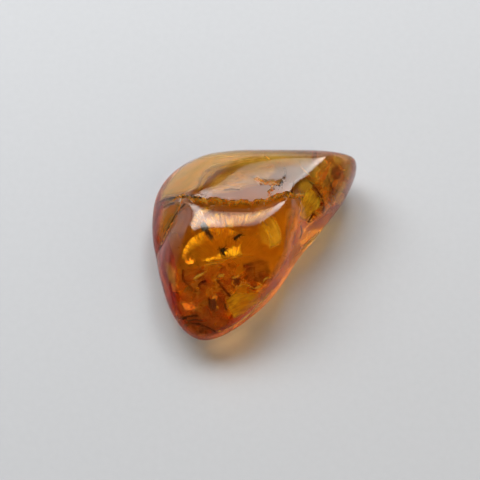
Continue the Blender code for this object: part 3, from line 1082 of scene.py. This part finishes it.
# The rind: under the polish, the oldest surface of the resin has reddened and crazed, most at the
# tail and the back, and less along the right flank and at the blunt tip. It is a thin closed skin
# that follows the surface.
RIND_SQUARES = 44
RIND_DEPTH = 0.5
RIND_THICKNESS = 0.05
STAIN_EDGE = 1.25          # the share of its reach at which a stain ends
LEAST_STAIN = 0.01
STAINS = [  # a place in the stone's own millimetres, how far the stain reaches, and how strong it is
    ((16.0, 12.0, 6.0), 8.5, 1.0), ((9.0, 16.0, 7.0), 7.0, 0.9), ((0.0, 15.0, 8.0), 6.0, 0.5),
    ((9.0, -3.5, 5.0), 5.0, 0.4), ((-9.0, -20.0, 4.5), 6.0, 0.3), ((-17.0, -5.0, 5.0), 5.0, 0.12)]


def stain_strength(points):
    strength = np.zeros(len(points))
    for spot, reach, most in STAINS:
        away = np.linalg.norm(points - spot, axis=1)
        strength = np.maximum(strength, most * smooth_step(STAIN_EDGE - away / reach))
    return strength


def stained_rind():
    mesh, points = blown_cube("stained_rind", RIND_SQUARES)
    mesh.vertices.foreach_set("co", points.ravel())
    bm = bmesh.new()
    bm.from_mesh(mesh)
    bm.normal_update()
    for vertex in bm.verts:
        vertex.co -= vertex.normal * RIND_DEPTH
    strength = stain_strength(np.array([vertex.co[:] for vertex in bm.verts]))
    clear = [vertex for vertex, stain in zip(bm.verts, strength) if stain < LEAST_STAIN]
    bmesh.ops.delete(bm, geom=clear, context="VERTS")
    bmesh.ops.solidify(bm, geom=bm.faces[:], thickness=RIND_THICKNESS)
    bmesh.ops.recalc_face_normals(bm, faces=bm.faces[:])
    bm.to_mesh(mesh)
    bm.free()
    points = np.empty(3 * len(mesh.vertices))
    mesh.vertices.foreach_get("co", points)
    points = points.reshape(-1, 3)
    mark(mesh, "stain", stain_strength(points))
    mesh.vertices.foreach_set("co", place(points).ravel())
    mesh.shade_smooth()
    mesh.update()
    return mesh


def reddened_resin():
    """Red-brown stain in soft clouds, darker along the fine cracks."""
    nodes = Nodes("reddened_resin")
    where = nodes.where()
    clouds = nodes.noise(where, 240.0, 4.0)
    cracks = nodes.add("TexVoronoi", {"feature": "DISTANCE_TO_EDGE"}, Vector=where, Scale=560.0)
    tone = nodes.tone(clouds, (0.28, 0.045, 0.004), (0.75, 0.22, 0.02), 0.35, 0.68)
    strength = nodes.attribute("stain")
    lines = nodes.spread(cracks.outputs["Distance"], 0.0, 0.03, 0.35, 0.0)
    veil = nodes.maths("ADD", nodes.spread(clouds, 0.35, 0.65, 0.50, 0.22), lines)
    nodes.set(nodes.surface, Base_Color=tone, Roughness=0.5, Alpha=nodes.maths("MULTIPLY", strength, veil))
    return nodes.material


rind = stained_rind()
rind.materials.append(reddened_resin())
seal_in(rind)

# The open cracks: dirt and iron have stained them nearly black, and each goes down from a line.
# The bright lines, some in zigzags, are painted glints: strips in a light gold tone at a depth, not turned to
# the lamp, for the lamp's light off thin gaps.
CRACK_ROWS = 7
CRACK_WANDER = 0.10        # in pixels at each step
CRACK_LEAN = 1.6           # how many pixels a lean of one takes its lower edge aside
CRACK_THICKNESS = 0.09
CRACK_BLADES = [  # a line of pixels, its depth, how far the crack goes down from it, and its lean
    ([(182, 269), (182.5, 279), (189, 286), (196, 292)], 1.3, 1.2, (1.3, 0.4)),
    ([(216, 280), (222.5, 288), (229.5, 297)], 1.1, 1.5, (1.2, -0.8)),
    ([(198, 285), (201, 281.5), (206, 280)], 1.2, 0.8, (0.6, 1.4)),
    ([(180, 318), (189, 315.4), (199, 314.5)], 0.7, 0.8, (0.2, 1.7)),
    ([(184, 324), (196, 322.6), (207, 326.5), (216, 331.5)], 0.55, 0.7, (0.2, 1.5)),
    ([(186, 320.5), (194, 318.8), (203, 320)], 0.8, 0.6, (0.2, 1.0)),
    ([(208, 297), (209, 303), (210.5, 311)], 1.1, 1.2, (1.0, 0.0)),
    ([(224, 303), (225, 309), (228.5, 313)], 1.0, 0.9, (1.3, 0.2)),
    ([(219, 299), (222, 302)], 0.9, 0.8, (1.4, 0.4)),
    ([(309, 182), (312.5, 186), (318, 193.5), (321.5, 198)], 0.5, 1.2, (1.0, -0.4)),
    ([(322, 199), (323.5, 206), (322, 212)], 0.5, 1.0, (0.9, 0.2)),
    ([(327, 176), (330.5, 184), (333, 191)], 0.6, 1.4, (1.0, 0.0)),
    ([(300, 225), (301.5, 232), (299, 239)], 0.4, 1.0, (1.1, 0.0)),
    ([(307, 222), (310, 217.5), (313, 213)], 0.4, 1.0, (1.2, 0.6)),
    ([(293, 182), (292, 189), (289.5, 196)], 0.4, 1.2, (0.7, 0.0)),
    ([(276, 186), (281, 181.5), (285, 174), (283.5, 166.5)], 0.4, 1.0, (0.6, 0.3)),
    ([(224, 189.2), (232, 188.6), (240, 189.2)], 0.15, 0.5, (0.0, 0.8)),
    ([(184, 203.5), (176, 213), (170, 224), (164, 236), (158.5, 250)], 0.06, 1.0, (1.2, 0.5)),
    ([(202, 198), (192, 196.4), (182, 196.2), (170, 197.4), (161, 200.6), (155.5, 205)],
     0.04, 1.0, (0.0, 1.3)),
    ([(163, 207), (168, 203.5), (174, 202)], 0.25, 0.7, (0.4, 1.0))]
GLEAM_SHARE = 0.7
GLEAM_TAPER = np.array((0.4, 1.0, 1.0, 0.4))
# Painted glints: each line becomes a strip in a light gold tone that stands in for reflected light off a gap,
# a speck or the rim.
PAINTED_GLINT_LINES = [  # a line of pixels, its half-width in pixels, and its depth before GLEAM_SHARE is taken
    ([(231.5, 278.5), (236, 277), (240.5, 275)], 1.0, 0.9),
    ([(240.5, 275), (241, 279), (239.5, 281)], 0.5, 1.3),
    ([(232, 279), (232.8, 284), (237, 288)], 0.5, 1.3),
    ([(237, 289), (240.5, 285.5), (244, 283)], 1.1, 0.9),
    ([(244, 283), (249, 286), (254.5, 288.6)], 1.0, 0.9),
    ([(254.5, 288.6), (258, 287.6), (262, 285)], 1.2, 0.9),
    ([(263, 283), (265, 279), (271, 277.5)], 0.9, 0.9),
    ([(193, 279.5), (199, 276), (206, 272)], 1.4, 1.2),
    ([(218.5, 276), (222, 275.4), (224.5, 274)], 1.5, 1.1),
    ([(196, 288), (200, 288.6)], 1.0, 1.6),
    ([(203, 265), (212, 263.6), (223, 261.5)], 0.8, 2.0),
    ([(217, 268), (222, 267)], 0.8, 2.0),
    ([(316.5, 181.5), (320, 177.6), (324.5, 173)], 0.6, 0.25),
    ([(299.5, 203.5), (303.4, 199.2)], 0.7, 0.3),
    ([(264.5, 155.4), (267.5, 158), (271, 160.5)], 0.9, 0.6),
    ([(241, 230.2), (246.6, 230)], 0.5, 0.2),
    ([(297.5, 161), (303, 169), (312, 178)], 0.6, 0.3),
    ([(327, 165), (330, 163), (333.5, 164.5)], 0.5, 0.6),
    ([(340, 168.5), (343.5, 170), (348, 169)], 0.7, 0.6),
    ([(217.5, 331.8), (221, 330.8)], 0.9, 0.4),
    ([(216.5, 306), (218.5, 309)], 1.2, 1.1),
    ([(208, 263.5), (220, 263), (232, 258.5), (245, 255.6), (258, 256.5)], 0.45, 1.7),
    # A painted highlight along the lower right rim, then a painted glow along the lower right edge.
    ([(221, 332.4), (240, 321.6), (257, 307), (269, 293.5), (276, 286.5)], 0.9, 0.5),
    ([(300, 251), (309, 242.5), (320, 232)], 1.3, 0.6),
    # The last three are painted glints: two small dots, and a yellow spot by the slender gnat.
    ([(256, 233.6), (257.4, 234.2)], 0.7, 0.4),
    ([(301, 192.2), (303, 192.8)], 0.7, 0.4),
    ([(236, 238.6), (239, 242.2)], 0.7, 2.0)]


def crack_blade(name, line, depth, reach, drift, finish):
    """A thin dark skin that goes down into the resin from a wandering line."""
    path = open_curve(line, 8)
    chance = np.random.default_rng(int(line[0][0]))
    wander = np.cumsum(chance.normal(0, CRACK_WANDER, len(path)))
    wander -= np.linspace(wander[0], wander[-1], len(path))
    rows = []
    for share in np.linspace(0, 1, CRACK_ROWS):
        lean = CRACK_LEAN * np.array(drift) * share
        rows.append([
            seen_at(across + lean[0] + step / 2, down + lean[1] + step, depth + reach * share)
            for (across, down), step in zip(path, wander)])
    mesh = thin_skin(name, rows, CRACK_THICKNESS)
    mesh.materials.append(finish)
    return seal_in(mesh)


def dirty_crack():
    """Black-brown at the crack's upper edge, thinning to red-brown in ragged fingers below."""
    nodes = Nodes("dirty_crack")
    on_skin = nodes.add("UVMap").outputs["UV"]
    down = nodes.add("SeparateXYZ", Vector=on_skin).outputs["Y"]
    where = nodes.where()
    blotches = nodes.noise(where, 1800.0, 4.0)
    depth = nodes.maths("ADD", down, nodes.spread(blotches, 0.3, 0.7, -0.35, 0.35))
    tone = nodes.tone(depth, (0.018, 0.004, 0.001), (0.22, 0.04, 0.004))
    nodes.set(nodes.surface, Base_Color=tone, Roughness=0.6, Alpha=nodes.spread(depth, 0.1, 1.1, 0.95, 0.1))
    return nodes.material


dirt = dirty_crack()
for i, (line, depth, reach, drift) in enumerate(CRACK_BLADES):
    crack_blade(f"crack_{i + 1:02d}", line, depth, reach, drift, dirt)
# The painted glints' finish: a light gold tone that stands in for reflected lamp light.
painted_glint = sprung_fracture(
    "painted_gold_glints", (1.0, 0.46, 0.03), (1.0, 0.72, 0.12), (2.0, 2.0, 1.0), (0.75, 1.0), 0.02, 0.35, 0.1)
for i, (line, half_width, depth) in enumerate(PAINTED_GLINT_LINES):
    shard(
        f"gleam_{i + 1:02d}", strip(line, half_width * GLEAM_TAPER), GLEAM_SHARE * depth, painted_glint,
        sprung=False, wander=0.12, seed=i)

# The crazed zones: the brittle resin of the lower end and the tail is full of small healed cracks
# at all angles, stained red-brown or gold. Geometry Nodes sets a bent plate at each place.
CRACK_SIDES = 5
PLATE_BEND = 0.00035       # in metres
PLATE_COVER = 0.25         # the least resin over a plate, a speck or a bubble, in millimetres
UNDER_SURFACE = 0.02       # in millimetres, from where the way on to the far side is measured
ANY_TURN = 3.1             # nearly half a turn either way, in radians


def stained_plate(name, thin_colour, thick_colour, clearness):
    nodes = Nodes(name)
    where = nodes.where()
    stain = nodes.noise(where, 650.0, 5.0)
    tone = nodes.tone(stain, thick_colour, thin_colour, 0.38, 0.62)
    crazing = nodes.add("TexVoronoi", {"feature": "DISTANCE_TO_EDGE"}, Vector=where, Scale=1500.0)
    relief = nodes.add("Bump", Strength=0.4, Distance=0.00004, Height=crazing.outputs["Distance"])
    rim = nodes.attribute("rim")
    rim_line = nodes.spread(rim, 0.90, 1.0, 0.0, 0.7)
    veil = nodes.maths("MAXIMUM", nodes.spread(stain, 0.35, 0.65, *clearness), rim_line)
    nodes.set(
        nodes.surface, Base_Color=tone, Roughness=0.28, Metallic=0.5, Alpha=veil,
        Normal=relief.outputs["Normal"])
    return nodes.material


class Grower:
    """Builds a Geometry Nodes tree step by step, runs it once and keeps its result as a mesh.

    A value called i0 goes to a node's first socket, i1 to its second, and any other to the one of its name.
    """

    def __init__(self, name, inputs):
        self.name = name
        self.tree = bpy.data.node_groups.new(name, "GeometryNodeTree")
        self.tree.interface.new_socket("Places", in_out="INPUT", socket_type="NodeSocketGeometry")
        self.identifiers = {}
        for key, (kind, value) in inputs.items():
            socket = self.tree.interface.new_socket(key, in_out="INPUT", socket_type="NodeSocket" + kind)
            self.identifiers[socket.identifier] = value
        self.tree.interface.new_socket("Pieces", in_out="OUTPUT", socket_type="NodeSocketGeometry")
        self.given = self.tree.nodes.new("NodeGroupInput").outputs

    def feed(self, socket, value):
        if isinstance(value, bpy.types.NodeSocket):
            self.tree.links.new(value, socket)
        else:
            socket.default_value = value

    def node(self, kind, settings=None, **values):
        made = self.tree.nodes.new(kind)
        for key, value in (settings or {}).items():
            setattr(made, key, value)
        for key, value in values.items():
            self.feed(made.inputs[int(key[1:]) if key[1:].isdigit() else key.replace("_", " ")], value)
        return made

    def maths(self, operation, first, second):
        return self.node("ShaderNodeMath", {"operation": operation}, i0=first, i1=second).outputs[0]

    def vector(self, operation, first, second=None, scale=None):
        made = self.node("ShaderNodeVectorMath", {"operation": operation}, i0=first)
        if second is not None:
            self.feed(made.inputs[1], second)
        if scale is not None:
            self.feed(made.inputs["Scale"], scale)
        return made.outputs["Value" if operation == "LENGTH" else "Vector"]

    def random_vector(self, low, high, offset):
        step = self.maths("ADD", self.given["Seed"], float(offset))
        made = self.node("FunctionNodeRandomValue", {"data_type": "FLOAT_VECTOR"}, Seed=step)
        made.inputs[0].default_value = low
        made.inputs[1].default_value = high
        return made.outputs[0]

    def random_size(self):
        """A size between the smallest and the largest, more often a small one."""
        made = self.node("FunctionNodeRandomValue", Seed=self.given["Seed"])
        made.inputs[2].default_value = 0.0
        made.inputs[3].default_value = 1.0
        skewed = self.maths("POWER", made.outputs[1], 2.0)
        span = self.maths("SUBTRACT", self.given["Largest"], self.given["Smallest"])
        return self.maths("ADD", self.maths("MULTIPLY", skewed, span), self.given["Smallest"])

    def finish(self, pieces, finish, places):
        coloured = self.node("GeometryNodeSetMaterial", Geometry=pieces, Material=finish)
        out = self.tree.nodes.new("NodeGroupOutput")
        self.tree.links.new(coloured.outputs[0], out.inputs[0])
        start = bpy.data.meshes.new(self.name + "_places")
        start.from_pydata([spot for spot, _ in places], [], [])
        start.attributes.new("facing", "FLOAT_VECTOR", "POINT").data.foreach_set(
            "vector", [value for _, facing in places for value in facing])
        host = bpy.data.objects.new(self.name + "_host", start)
        bpy.context.scene.collection.objects.link(host)
        modifier = host.modifiers.new("Grow", "NODES")
        modifier.node_group = self.tree
        for identifier, value in self.identifiers.items():
            modifier[identifier] = value
        bpy.context.view_layer.update()
        mesh = bpy.data.meshes.new_from_object(host.evaluated_get(bpy.context.evaluated_depsgraph_get()))
        mesh.name = self.name
        bpy.data.objects.remove(host)
        bpy.data.meshes.remove(start)
        bpy.data.node_groups.remove(self.tree)
        return seal_in(mesh)


def within(rim, across, down):
    """Whether a pixel lies inside a closed outline.

    If it does, a level line from it to the right crosses the outline an odd number of times.
    """
    ahead = np.roll(rim, -1, axis=0)
    crosses = (rim[:, 1] > down) != (ahead[:, 1] > down)
    rise = np.where(crosses, ahead[:, 1] - rim[:, 1], 1)
    reach = rim[:, 0] + (down - rim[:, 1]) / rise * (ahead[:, 0] - rim[:, 0])
    return np.count_nonzero(crosses & (reach > across)) % 2 == 1


def inner_places(outline, count, shallow, deep, seed):
    """Places spread through the resin under an outline of pixels, between two shares of its depth."""
    chance = np.random.default_rng(seed)
    rim = np.array(outline, dtype=float)
    low, high = rim.min(axis=0), rim.max(axis=0)
    found = []
    while len(found) < count:
        across, down = (float(value) for value in chance.uniform(low, high))
        share = float(chance.uniform(shallow, deep))
        if not within(rim, across, down):
            continue
        start, _, onward = look_in(across, down)
        _, _, _, through = stone_tree.ray_cast(start + onward * UNDER_SURFACE * MM, onward)
        spot = kept_inside(start + onward * share * through, PLATE_COVER)
        found.append((spot, mirror_facing(across, down, share * through / MM)))
    return found


def crazed_cracks(name, places, sizes, tilt, seed, finish):
    """Sets bent many-sided plates at the places, each turned at random from the way it should face."""
    grow = Grower(name, {
        "Smallest": ("Float", sizes[0] * MM), "Largest": ("Float", sizes[1] * MM),
        "Tilt": ("Float", math.radians(tilt)), "Seed": ("Int", seed)})
    plate = grow.node(
        "GeometryNodeMeshCylinder", {"fill_type": "TRIANGLE_FAN"}, Vertices=CRACK_SIDES, Side_Segments=1,
        Fill_Segments=2, Radius=1.0, Depth=0.04)
    position = grow.node("GeometryNodeInputPosition").outputs[0]
    flat = grow.vector("MULTIPLY", position, (1.0, 1.0, 0.0))
    marked = grow.node(
        "GeometryNodeStoreNamedAttribute", {"data_type": "FLOAT", "domain": "POINT"},
        Geometry=plate.outputs["Mesh"], Name="rim", Value=grow.vector("LENGTH", flat))
    spun = grow.random_vector((-1, -1, -ANY_TURN), (1, 1, ANY_TURN), 2)
    tilt_by = grow.node("ShaderNodeCombineXYZ", X=grow.given["Tilt"], Y=grow.given["Tilt"], Z=1.0).outputs[0]
    spun = grow.node("FunctionNodeEulerToRotation", i0=grow.vector("MULTIPLY", spun, tilt_by)).outputs[0]
    facing = grow.node("GeometryNodeInputNamedAttribute", {"data_type": "FLOAT_VECTOR"}, Name="facing")
    level = grow.node("FunctionNodeAlignRotationToVector", {"axis": "Z"}, Vector=facing.outputs[0]).outputs[0]
    turn = grow.node("FunctionNodeRotateRotation", {"rotation_space": "LOCAL"}, i0=level, i1=spun).outputs[0]
    sides = grow.random_vector((0.2, 0.5, 0.6), (0.7, 1, 1), 3)
    stretch = grow.vector("SCALE", sides, scale=grow.random_size())
    points = grow.node("GeometryNodeMeshToPoints", Mesh=grow.given["Places"]).outputs[0]
    copies = grow.node(
        "GeometryNodeInstanceOnPoints", Points=points, Instance=marked.outputs[0], Rotation=turn,
        Scale=stretch)
    solid = grow.node("GeometryNodeRealizeInstances", Geometry=copies.outputs[0])
    warp = grow.node("ShaderNodeTexNoise", Scale=900.0, Detail=2.0)
    centred = grow.vector("SUBTRACT", warp.outputs["Color"], (0.5, 0.5, 0.5))
    bend = grow.vector("SCALE", centred, scale=PLATE_BEND)
    bent = grow.node("GeometryNodeSetPosition", Geometry=solid.outputs[0], Offset=bend)
    return grow.finish(bent.outputs[0], finish, places)


LOWER_ZONE = [
    (172, 266), (200, 264), (226, 262), (246, 264), (268, 272), (262, 290), (240, 304), (224, 326),
    (196, 326), (182, 306), (176, 286)]
MIDDLE_ZONE = [(186, 268), (228, 264), (246, 276), (236, 296), (206, 300), (188, 290)]
TAIL_ZONE = [
    (316, 166), (332, 158), (346, 164), (348, 180), (338, 204), (322, 226), (308, 236), (304, 222),
    (322, 200), (312, 184)]
TIP_ZONE = [(184, 308), (206, 312), (226, 316), (222, 332), (200, 332), (188, 322)]
red_brown = stained_plate("red_brown_stain", (0.95, 0.38, 0.03), (0.50, 0.10, 0.006), (0.40, 0.05))
amber_gold = stained_plate("amber_gold_stain", (1.0, 0.60, 0.10), (0.85, 0.30, 0.03), (0.75, 0.20))
CRAZING = [  # zone, how many, shallowest and deepest share, seed, sizes in millimetres, tilt, stain
    ("lower_cracks", LOWER_ZONE, 46, 0.3, 0.8, 4, (0.8, 3.2), 55, red_brown),
    ("lower_glints", LOWER_ZONE, 80, 0.15, 0.6, 11, (0.1, 0.7), 18, amber_gold),
    ("middle_cracks", MIDDLE_ZONE, 26, 0.2, 0.5, 15, (0.5, 2.0), 50, red_brown),
    ("tail_cracks", TAIL_ZONE, 40, 0.3, 0.75, 21, (0.5, 2.2), 60, red_brown),
    ("tail_glints", TAIL_ZONE, 60, 0.1, 0.5, 25, (0.08, 0.5), 20, amber_gold),
    ("tip_cracks", TIP_ZONE, 26, 0.25, 0.7, 31, (0.4, 1.8), 55, red_brown)]
for name, zone, count, shallow, deep, seed, sizes, tilt, stain in CRAZING:
    crazed_cracks(name, inner_places(zone, count, shallow, deep, seed), sizes, tilt, seed, stain)

# The crumbs of the broken wall and what else is caught in the resin: bark dust, and bubbles.
# Geometry Nodes sets a small squashed grain at each place, with a size and a turn of its own.
WALL_CRUMBS = 1500
WALL_SPAN = (-13.5, 8.2)
CRUMB_DEPTHS = (0.10, 0.22)
CHIP_CRUMB_DEPTHS = (0.08, 0.2)
CHIP_CRUMBS = [  # a broken line in plan, how far the crumbs stray from it, and how many there are
    (CHIP_LINES[0][0], 0.3, 320), (CHIP_LINES[2][0], 0.14, 90), (SIDE_CRACK[:4], 0.14, 140)]
OVERHEAD = 20.0            # in millimetres, above the whole stone


def grains(name, places, sizes, squash, seed, finish):
    grow = Grower(name, {
        "Smallest": ("Float", sizes[0] * MM), "Largest": ("Float", sizes[1] * MM), "Seed": ("Int", seed)})
    ball = grow.node("GeometryNodeMeshIcoSphere", Radius=1.0, Subdivisions=2).outputs["Mesh"]
    spun = grow.random_vector((-ANY_TURN,) * 3, (ANY_TURN,) * 3, 2)
    turn = grow.node("FunctionNodeEulerToRotation", i0=spun).outputs[0]
    stretch = grow.vector("SCALE", grow.random_vector((squash,) * 3, (1,) * 3, 3), scale=grow.random_size())
    points = grow.node("GeometryNodeMeshToPoints", Mesh=grow.given["Places"]).outputs[0]
    copies = grow.node(
        "GeometryNodeInstanceOnPoints", Points=points, Instance=ball, Rotation=turn, Scale=stretch)
    solid = grow.node("GeometryNodeRealizeInstances", Geometry=copies.outputs[0]).outputs[0]
    return grow.finish(solid, finish, places)


def under_surface(x, y, depths, chance):
    """A place a little under the surface there, and the way that the surface faces."""
    spot, facing, _, _ = stone_tree.ray_cast(Vector(place((x, y, OVERHEAD))), Vector((0, 0, -1)))
    return spot - facing * float(chance.uniform(*depths)) * MM, facing


def wall_places():
    """Places just behind the surface of the broken wall, the chip and the side crack."""
    chance = np.random.default_rng(8)
    across = chance.uniform(*WALL_SPAN, WALL_CRUMBS)
    down_wall = chance.uniform(-0.45, 0.55, WALL_CRUMBS) * WALL_RUN
    found = []
    for x, y in zip(across, smooth_line(across, BREAK_LINE) + jagged(across) - down_wall):
        found.append(under_surface(x, y, CRUMB_DEPTHS, chance))
    for line, spread, count in CHIP_CRUMBS:
        path = open_curve(line, 12)
        for x, y in path[chance.integers(0, len(path), count)] + chance.normal(0, 0.5 * spread, (count, 2)):
            found.append(under_surface(x, y, CHIP_CRUMB_DEPTHS, chance))
    return found


def grain_finish(name, low, high, roughness):
    nodes = Nodes(name)
    where = nodes.where()
    tone = nodes.tone(nodes.noise(where, 1600.0, 3.0), low, high, 0.36, 0.6)
    pits = nodes.add("Bump", Strength=0.5, Distance=0.00002, Height=nodes.noise(where, 16000.0, 2.0))
    nodes.set(nodes.surface, Base_Color=tone, Roughness=roughness, Normal=pits.outputs["Normal"])
    return nodes.material


def gas_bubble():
    nodes = Nodes("gas_bubble")
    where = nodes.where()
    film = nodes.noise(where, 5000.0, 2.0)
    nodes.set(
        nodes.surface, Base_Color=(1.0, 0.96, 0.88, 1), Roughness=nodes.spread(film, 0.3, 0.7, 0.0, 0.12),
        Transmission_Weight=1.0, IOR=1 / AMBER_IOR)
    return nodes.material


WHOLE_STONE = [
    (170, 190), (186, 166), (212, 158), (260, 158), (300, 156), (332, 158), (344, 172), (332, 210),
    (300, 250), (268, 292), (240, 314), (218, 326), (198, 326), (182, 300), (170, 262), (164, 226)]
crumb_amber = grain_finish("crumbled_amber", (1.0, 0.27, 0.01), (1.0, 0.56, 0.04), 0.45)
bark = grain_finish("bark_dust", (0.012, 0.006, 0.003), (0.10, 0.04, 0.012), 0.8)
grains("wall_crumbs", wall_places(), (0.05, 0.16), 0.6, 3, crumb_amber)
grains("bark_specks", inner_places(WHOLE_STONE, 90, 0.08, 0.8, 41), (0.02, 0.10), 0.3, 5, bark)
grains("bubbles", inner_places(WHOLE_STONE, 60, 0.1, 0.7, 43), (0.03, 0.13), 0.9, 7, gas_bubble())

# The studio: a smooth pale board, a large soft lamp behind and to the left, a weak fill from the
# front, three small warm lamps for the light that the amber throws on the board, and a dim room.
FLOOR_HALF = 0.6
FLOOR_DROP = 0.00003        # in metres, so that the board doesn't lie in the stone's own flat
LAMP_DISTANCE = 0.5
LAMP_SIZE = (0.70, 0.34)
LAMP_SHIFT = 0.09         # along its width, towards -x
LAMP_POWER = 6.5
LAMP_COLOUR = (1.0, 0.985, 0.965)
SIDEWAYS_GLOW = [  # places across the lamp, from its +x end as shares of its width, and the glow there
    (0.0, 1.15), (0.20, 1.15), (0.31, 0.45), (0.39, 0.60), (0.46, 1.05), (1.0, 0.8)]
UPWARD_GLOW = [(0.0, 0.35), (0.10, 0.45), (0.28, 1.0), (0.52, 1.0), (0.80, 0.55), (0.97, 0.35)]
FILL_OUTWARD = Vector((0.66, -0.58, 0.52)).normalized()
FILL_SIZE = (0.9, 0.4)
FILL_POWER = 1.35
FILL_COLOUR = (1.0, 0.84, 0.66)
GLOW_COLOUR = (1.0, 0.42, 0.06)
GLOW_HEIGHT = 0.0035
THROWN_GLOWS = [  # the pixel it stands at, the way it shines, its power and its size
    ("flank_glow", (262, 306), (0.55, -0.55, -0.6), 0.00006, 0.008),
    ("tip_glow", (228, 334), (0.3, -0.7, -0.6), 0.00009, 0.006),
    ("tail_glow", (306, 252), (0.7, -0.4, -0.55), 0.00002, 0.005)]
ROOM_TONES = [  # places from level to straight up, and the room's tone there
    (0.0, (0.38, 0.395, 0.42)), (0.25, (0.74, 0.76, 0.80)), (0.41, (0.035, 0.036, 0.04))]
ROOM_TURN = (0.1, 0.5)    # how far back a direction leans where the room starts and ends to brighten
ROOM_BEHIND = 1.8
ROOM_IN_FRONT = 0.35


def board():
    nodes = Nodes("pale_board")
    grain = nodes.noise(nodes.where(), 900.0, 3.0)
    tone = nodes.tone(grain, (0.523, 0.549, 0.583), (0.553, 0.579, 0.614))
    nodes.set(nodes.surface, Base_Color=tone, Roughness=0.75, Specular_IOR_Level=0.2)
    return nodes.material


floor_mesh = bpy.data.meshes.new("floor")
corners = [(x * FLOOR_HALF, y * FLOOR_HALF, -FLOOR_DROP) for x, y in ((-1, -1), (1, -1), (1, 1), (-1, 1))]
floor_mesh.from_pydata(corners, [], [(0, 1, 2, 3)])
floor_mesh.materials.append(board())
floor = bpy.data.objects.new("floor", floor_mesh)
bpy.context.scene.collection.objects.link(floor)


def area_lamp(name, size, power, colour):
    data = bpy.data.lights.new(name, "AREA")
    data.shape = "RECTANGLE"
    data.size, data.size_y = size
    data.energy = power
    data.color = colour
    lamp = bpy.data.objects.new(name, data)
    bpy.context.scene.collection.objects.link(lamp)
    return lamp


def set_tones(ramp, tones):
    """Gives a colour ramp its places and tones, with soft steps between them."""
    ramp.color_ramp.interpolation = "EASE"
    while len(ramp.color_ramp.elements) < len(tones):
        ramp.color_ramp.elements.new(0.5)
    for element, (at, tone) in zip(ramp.color_ramp.elements, tones):
        element.position = at
        element.color = (*tone, 1)


def soft_lamp():
    """A lamp behind a cloth, with a dim patch right of its middle, fading towards both long edges."""
    lamp = area_lamp("window_lamp", LAMP_SIZE, LAMP_POWER, LAMP_COLOUR)
    lamp.rotation_euler = LAMP_OUTWARD.to_track_quat("Z", "Y").to_euler()
    turn = lamp.rotation_euler.to_matrix()
    lamp.location = LAMP_OUTWARD * LAMP_DISTANCE + turn.col[0] * LAMP_SHIFT
    lamp.data.use_nodes = True
    tree = lamp.data.node_tree
    position = tree.nodes.new("ShaderNodeNewGeometry").outputs["Position"]
    both = tree.nodes.new("ShaderNodeMath")
    both.operation = "MULTIPLY"
    for i, stops in enumerate((SIDEWAYS_GLOW, UPWARD_GLOW)):
        axis, extent = turn.col[i], LAMP_SIZE[i]
        along = tree.nodes.new("ShaderNodeVectorMath")
        along.operation = "DOT_PRODUCT"
        along.inputs[1].default_value = axis
        tree.links.new(position, along.inputs[0])
        share = tree.nodes.new("ShaderNodeMapRange")
        share.inputs["From Min"].default_value = lamp.location.dot(axis) - extent / 2
        share.inputs["From Max"].default_value = lamp.location.dot(axis) + extent / 2
        tree.links.new(along.outputs["Value"], share.inputs["Value"])
        ramp = tree.nodes.new("ShaderNodeValToRGB")
        set_tones(ramp, [(at, (glow_there,) * 3) for at, glow_there in stops])
        tree.links.new(share.outputs["Result"], ramp.inputs["Fac"])
        tree.links.new(ramp.outputs["Color"], both.inputs[i])
    tree.links.new(both.outputs[0], tree.nodes["Emission"].inputs["Strength"])


soft_lamp()
fill_panel = area_lamp("fill_panel", FILL_SIZE, FILL_POWER, FILL_COLOUR)
fill_panel.location = FILL_OUTWARD * LAMP_DISTANCE
fill_panel.rotation_euler = FILL_OUTWARD.to_track_quat("Z", "Y").to_euler()
fill_panel.visible_glossy = False


def throw_glow(name, pixel, direction, power, size):
    """A small warm lamp beside the stone, for the light that the amber throws on the board."""
    lamp = area_lamp(name, (size, size), power, GLOW_COLOUR)
    shift = Vector((pixel[0] - PIXELS / 2, PIXELS / 2 - pixel[1], 0)) * SENSOR / PIXELS
    ray = camera_turn @ Vector((shift.x, shift.y, -LENS))
    lamp.location = camera.location + ray * (GLOW_HEIGHT - camera.location.z) / ray.z
    lamp.rotation_euler = Vector(direction).to_track_quat("-Z", "Y").to_euler()
    lamp.visible_camera = False
    lamp.visible_glossy = False
    lamp.visible_transmission = False


for thrown in THROWN_GLOWS:
    throw_glow(*thrown)


def dim_room():
    """A pale backdrop behind at the level of the board, and a darker ceiling and near side."""
    world = bpy.data.worlds.new("room")
    world.use_nodes = True
    tree = world.node_tree
    direction = tree.nodes.new("ShaderNodeTexCoord")
    parts = tree.nodes.new("ShaderNodeSeparateXYZ")
    tones = tree.nodes.new("ShaderNodeValToRGB")
    set_tones(tones, ROOM_TONES)
    nearness = tree.nodes.new("ShaderNodeMapRange")
    limits = (*ROOM_TURN, ROOM_IN_FRONT, ROOM_BEHIND)
    for socket, value in zip(("From Min", "From Max", "To Min", "To Max"), limits):
        nearness.inputs[socket].default_value = value
    tree.links.new(direction.outputs["Generated"], parts.inputs["Vector"])
    tree.links.new(parts.outputs["Z"], tones.inputs["Fac"])
    tree.links.new(parts.outputs["Y"], nearness.inputs["Value"])
    tree.links.new(tones.outputs["Color"], tree.nodes["Background"].inputs["Color"])
    tree.links.new(nearness.outputs["Result"], tree.nodes["Background"].inputs["Strength"])
    return world


bpy.context.scene.world = dim_room()
bpy.context.scene.view_settings.view_transform = "Standard"
bpy.context.scene.cycles.max_bounces = 16
bpy.context.scene.cycles.transmission_bounces = 14
bpy.context.scene.cycles.transparent_max_bounces = 16
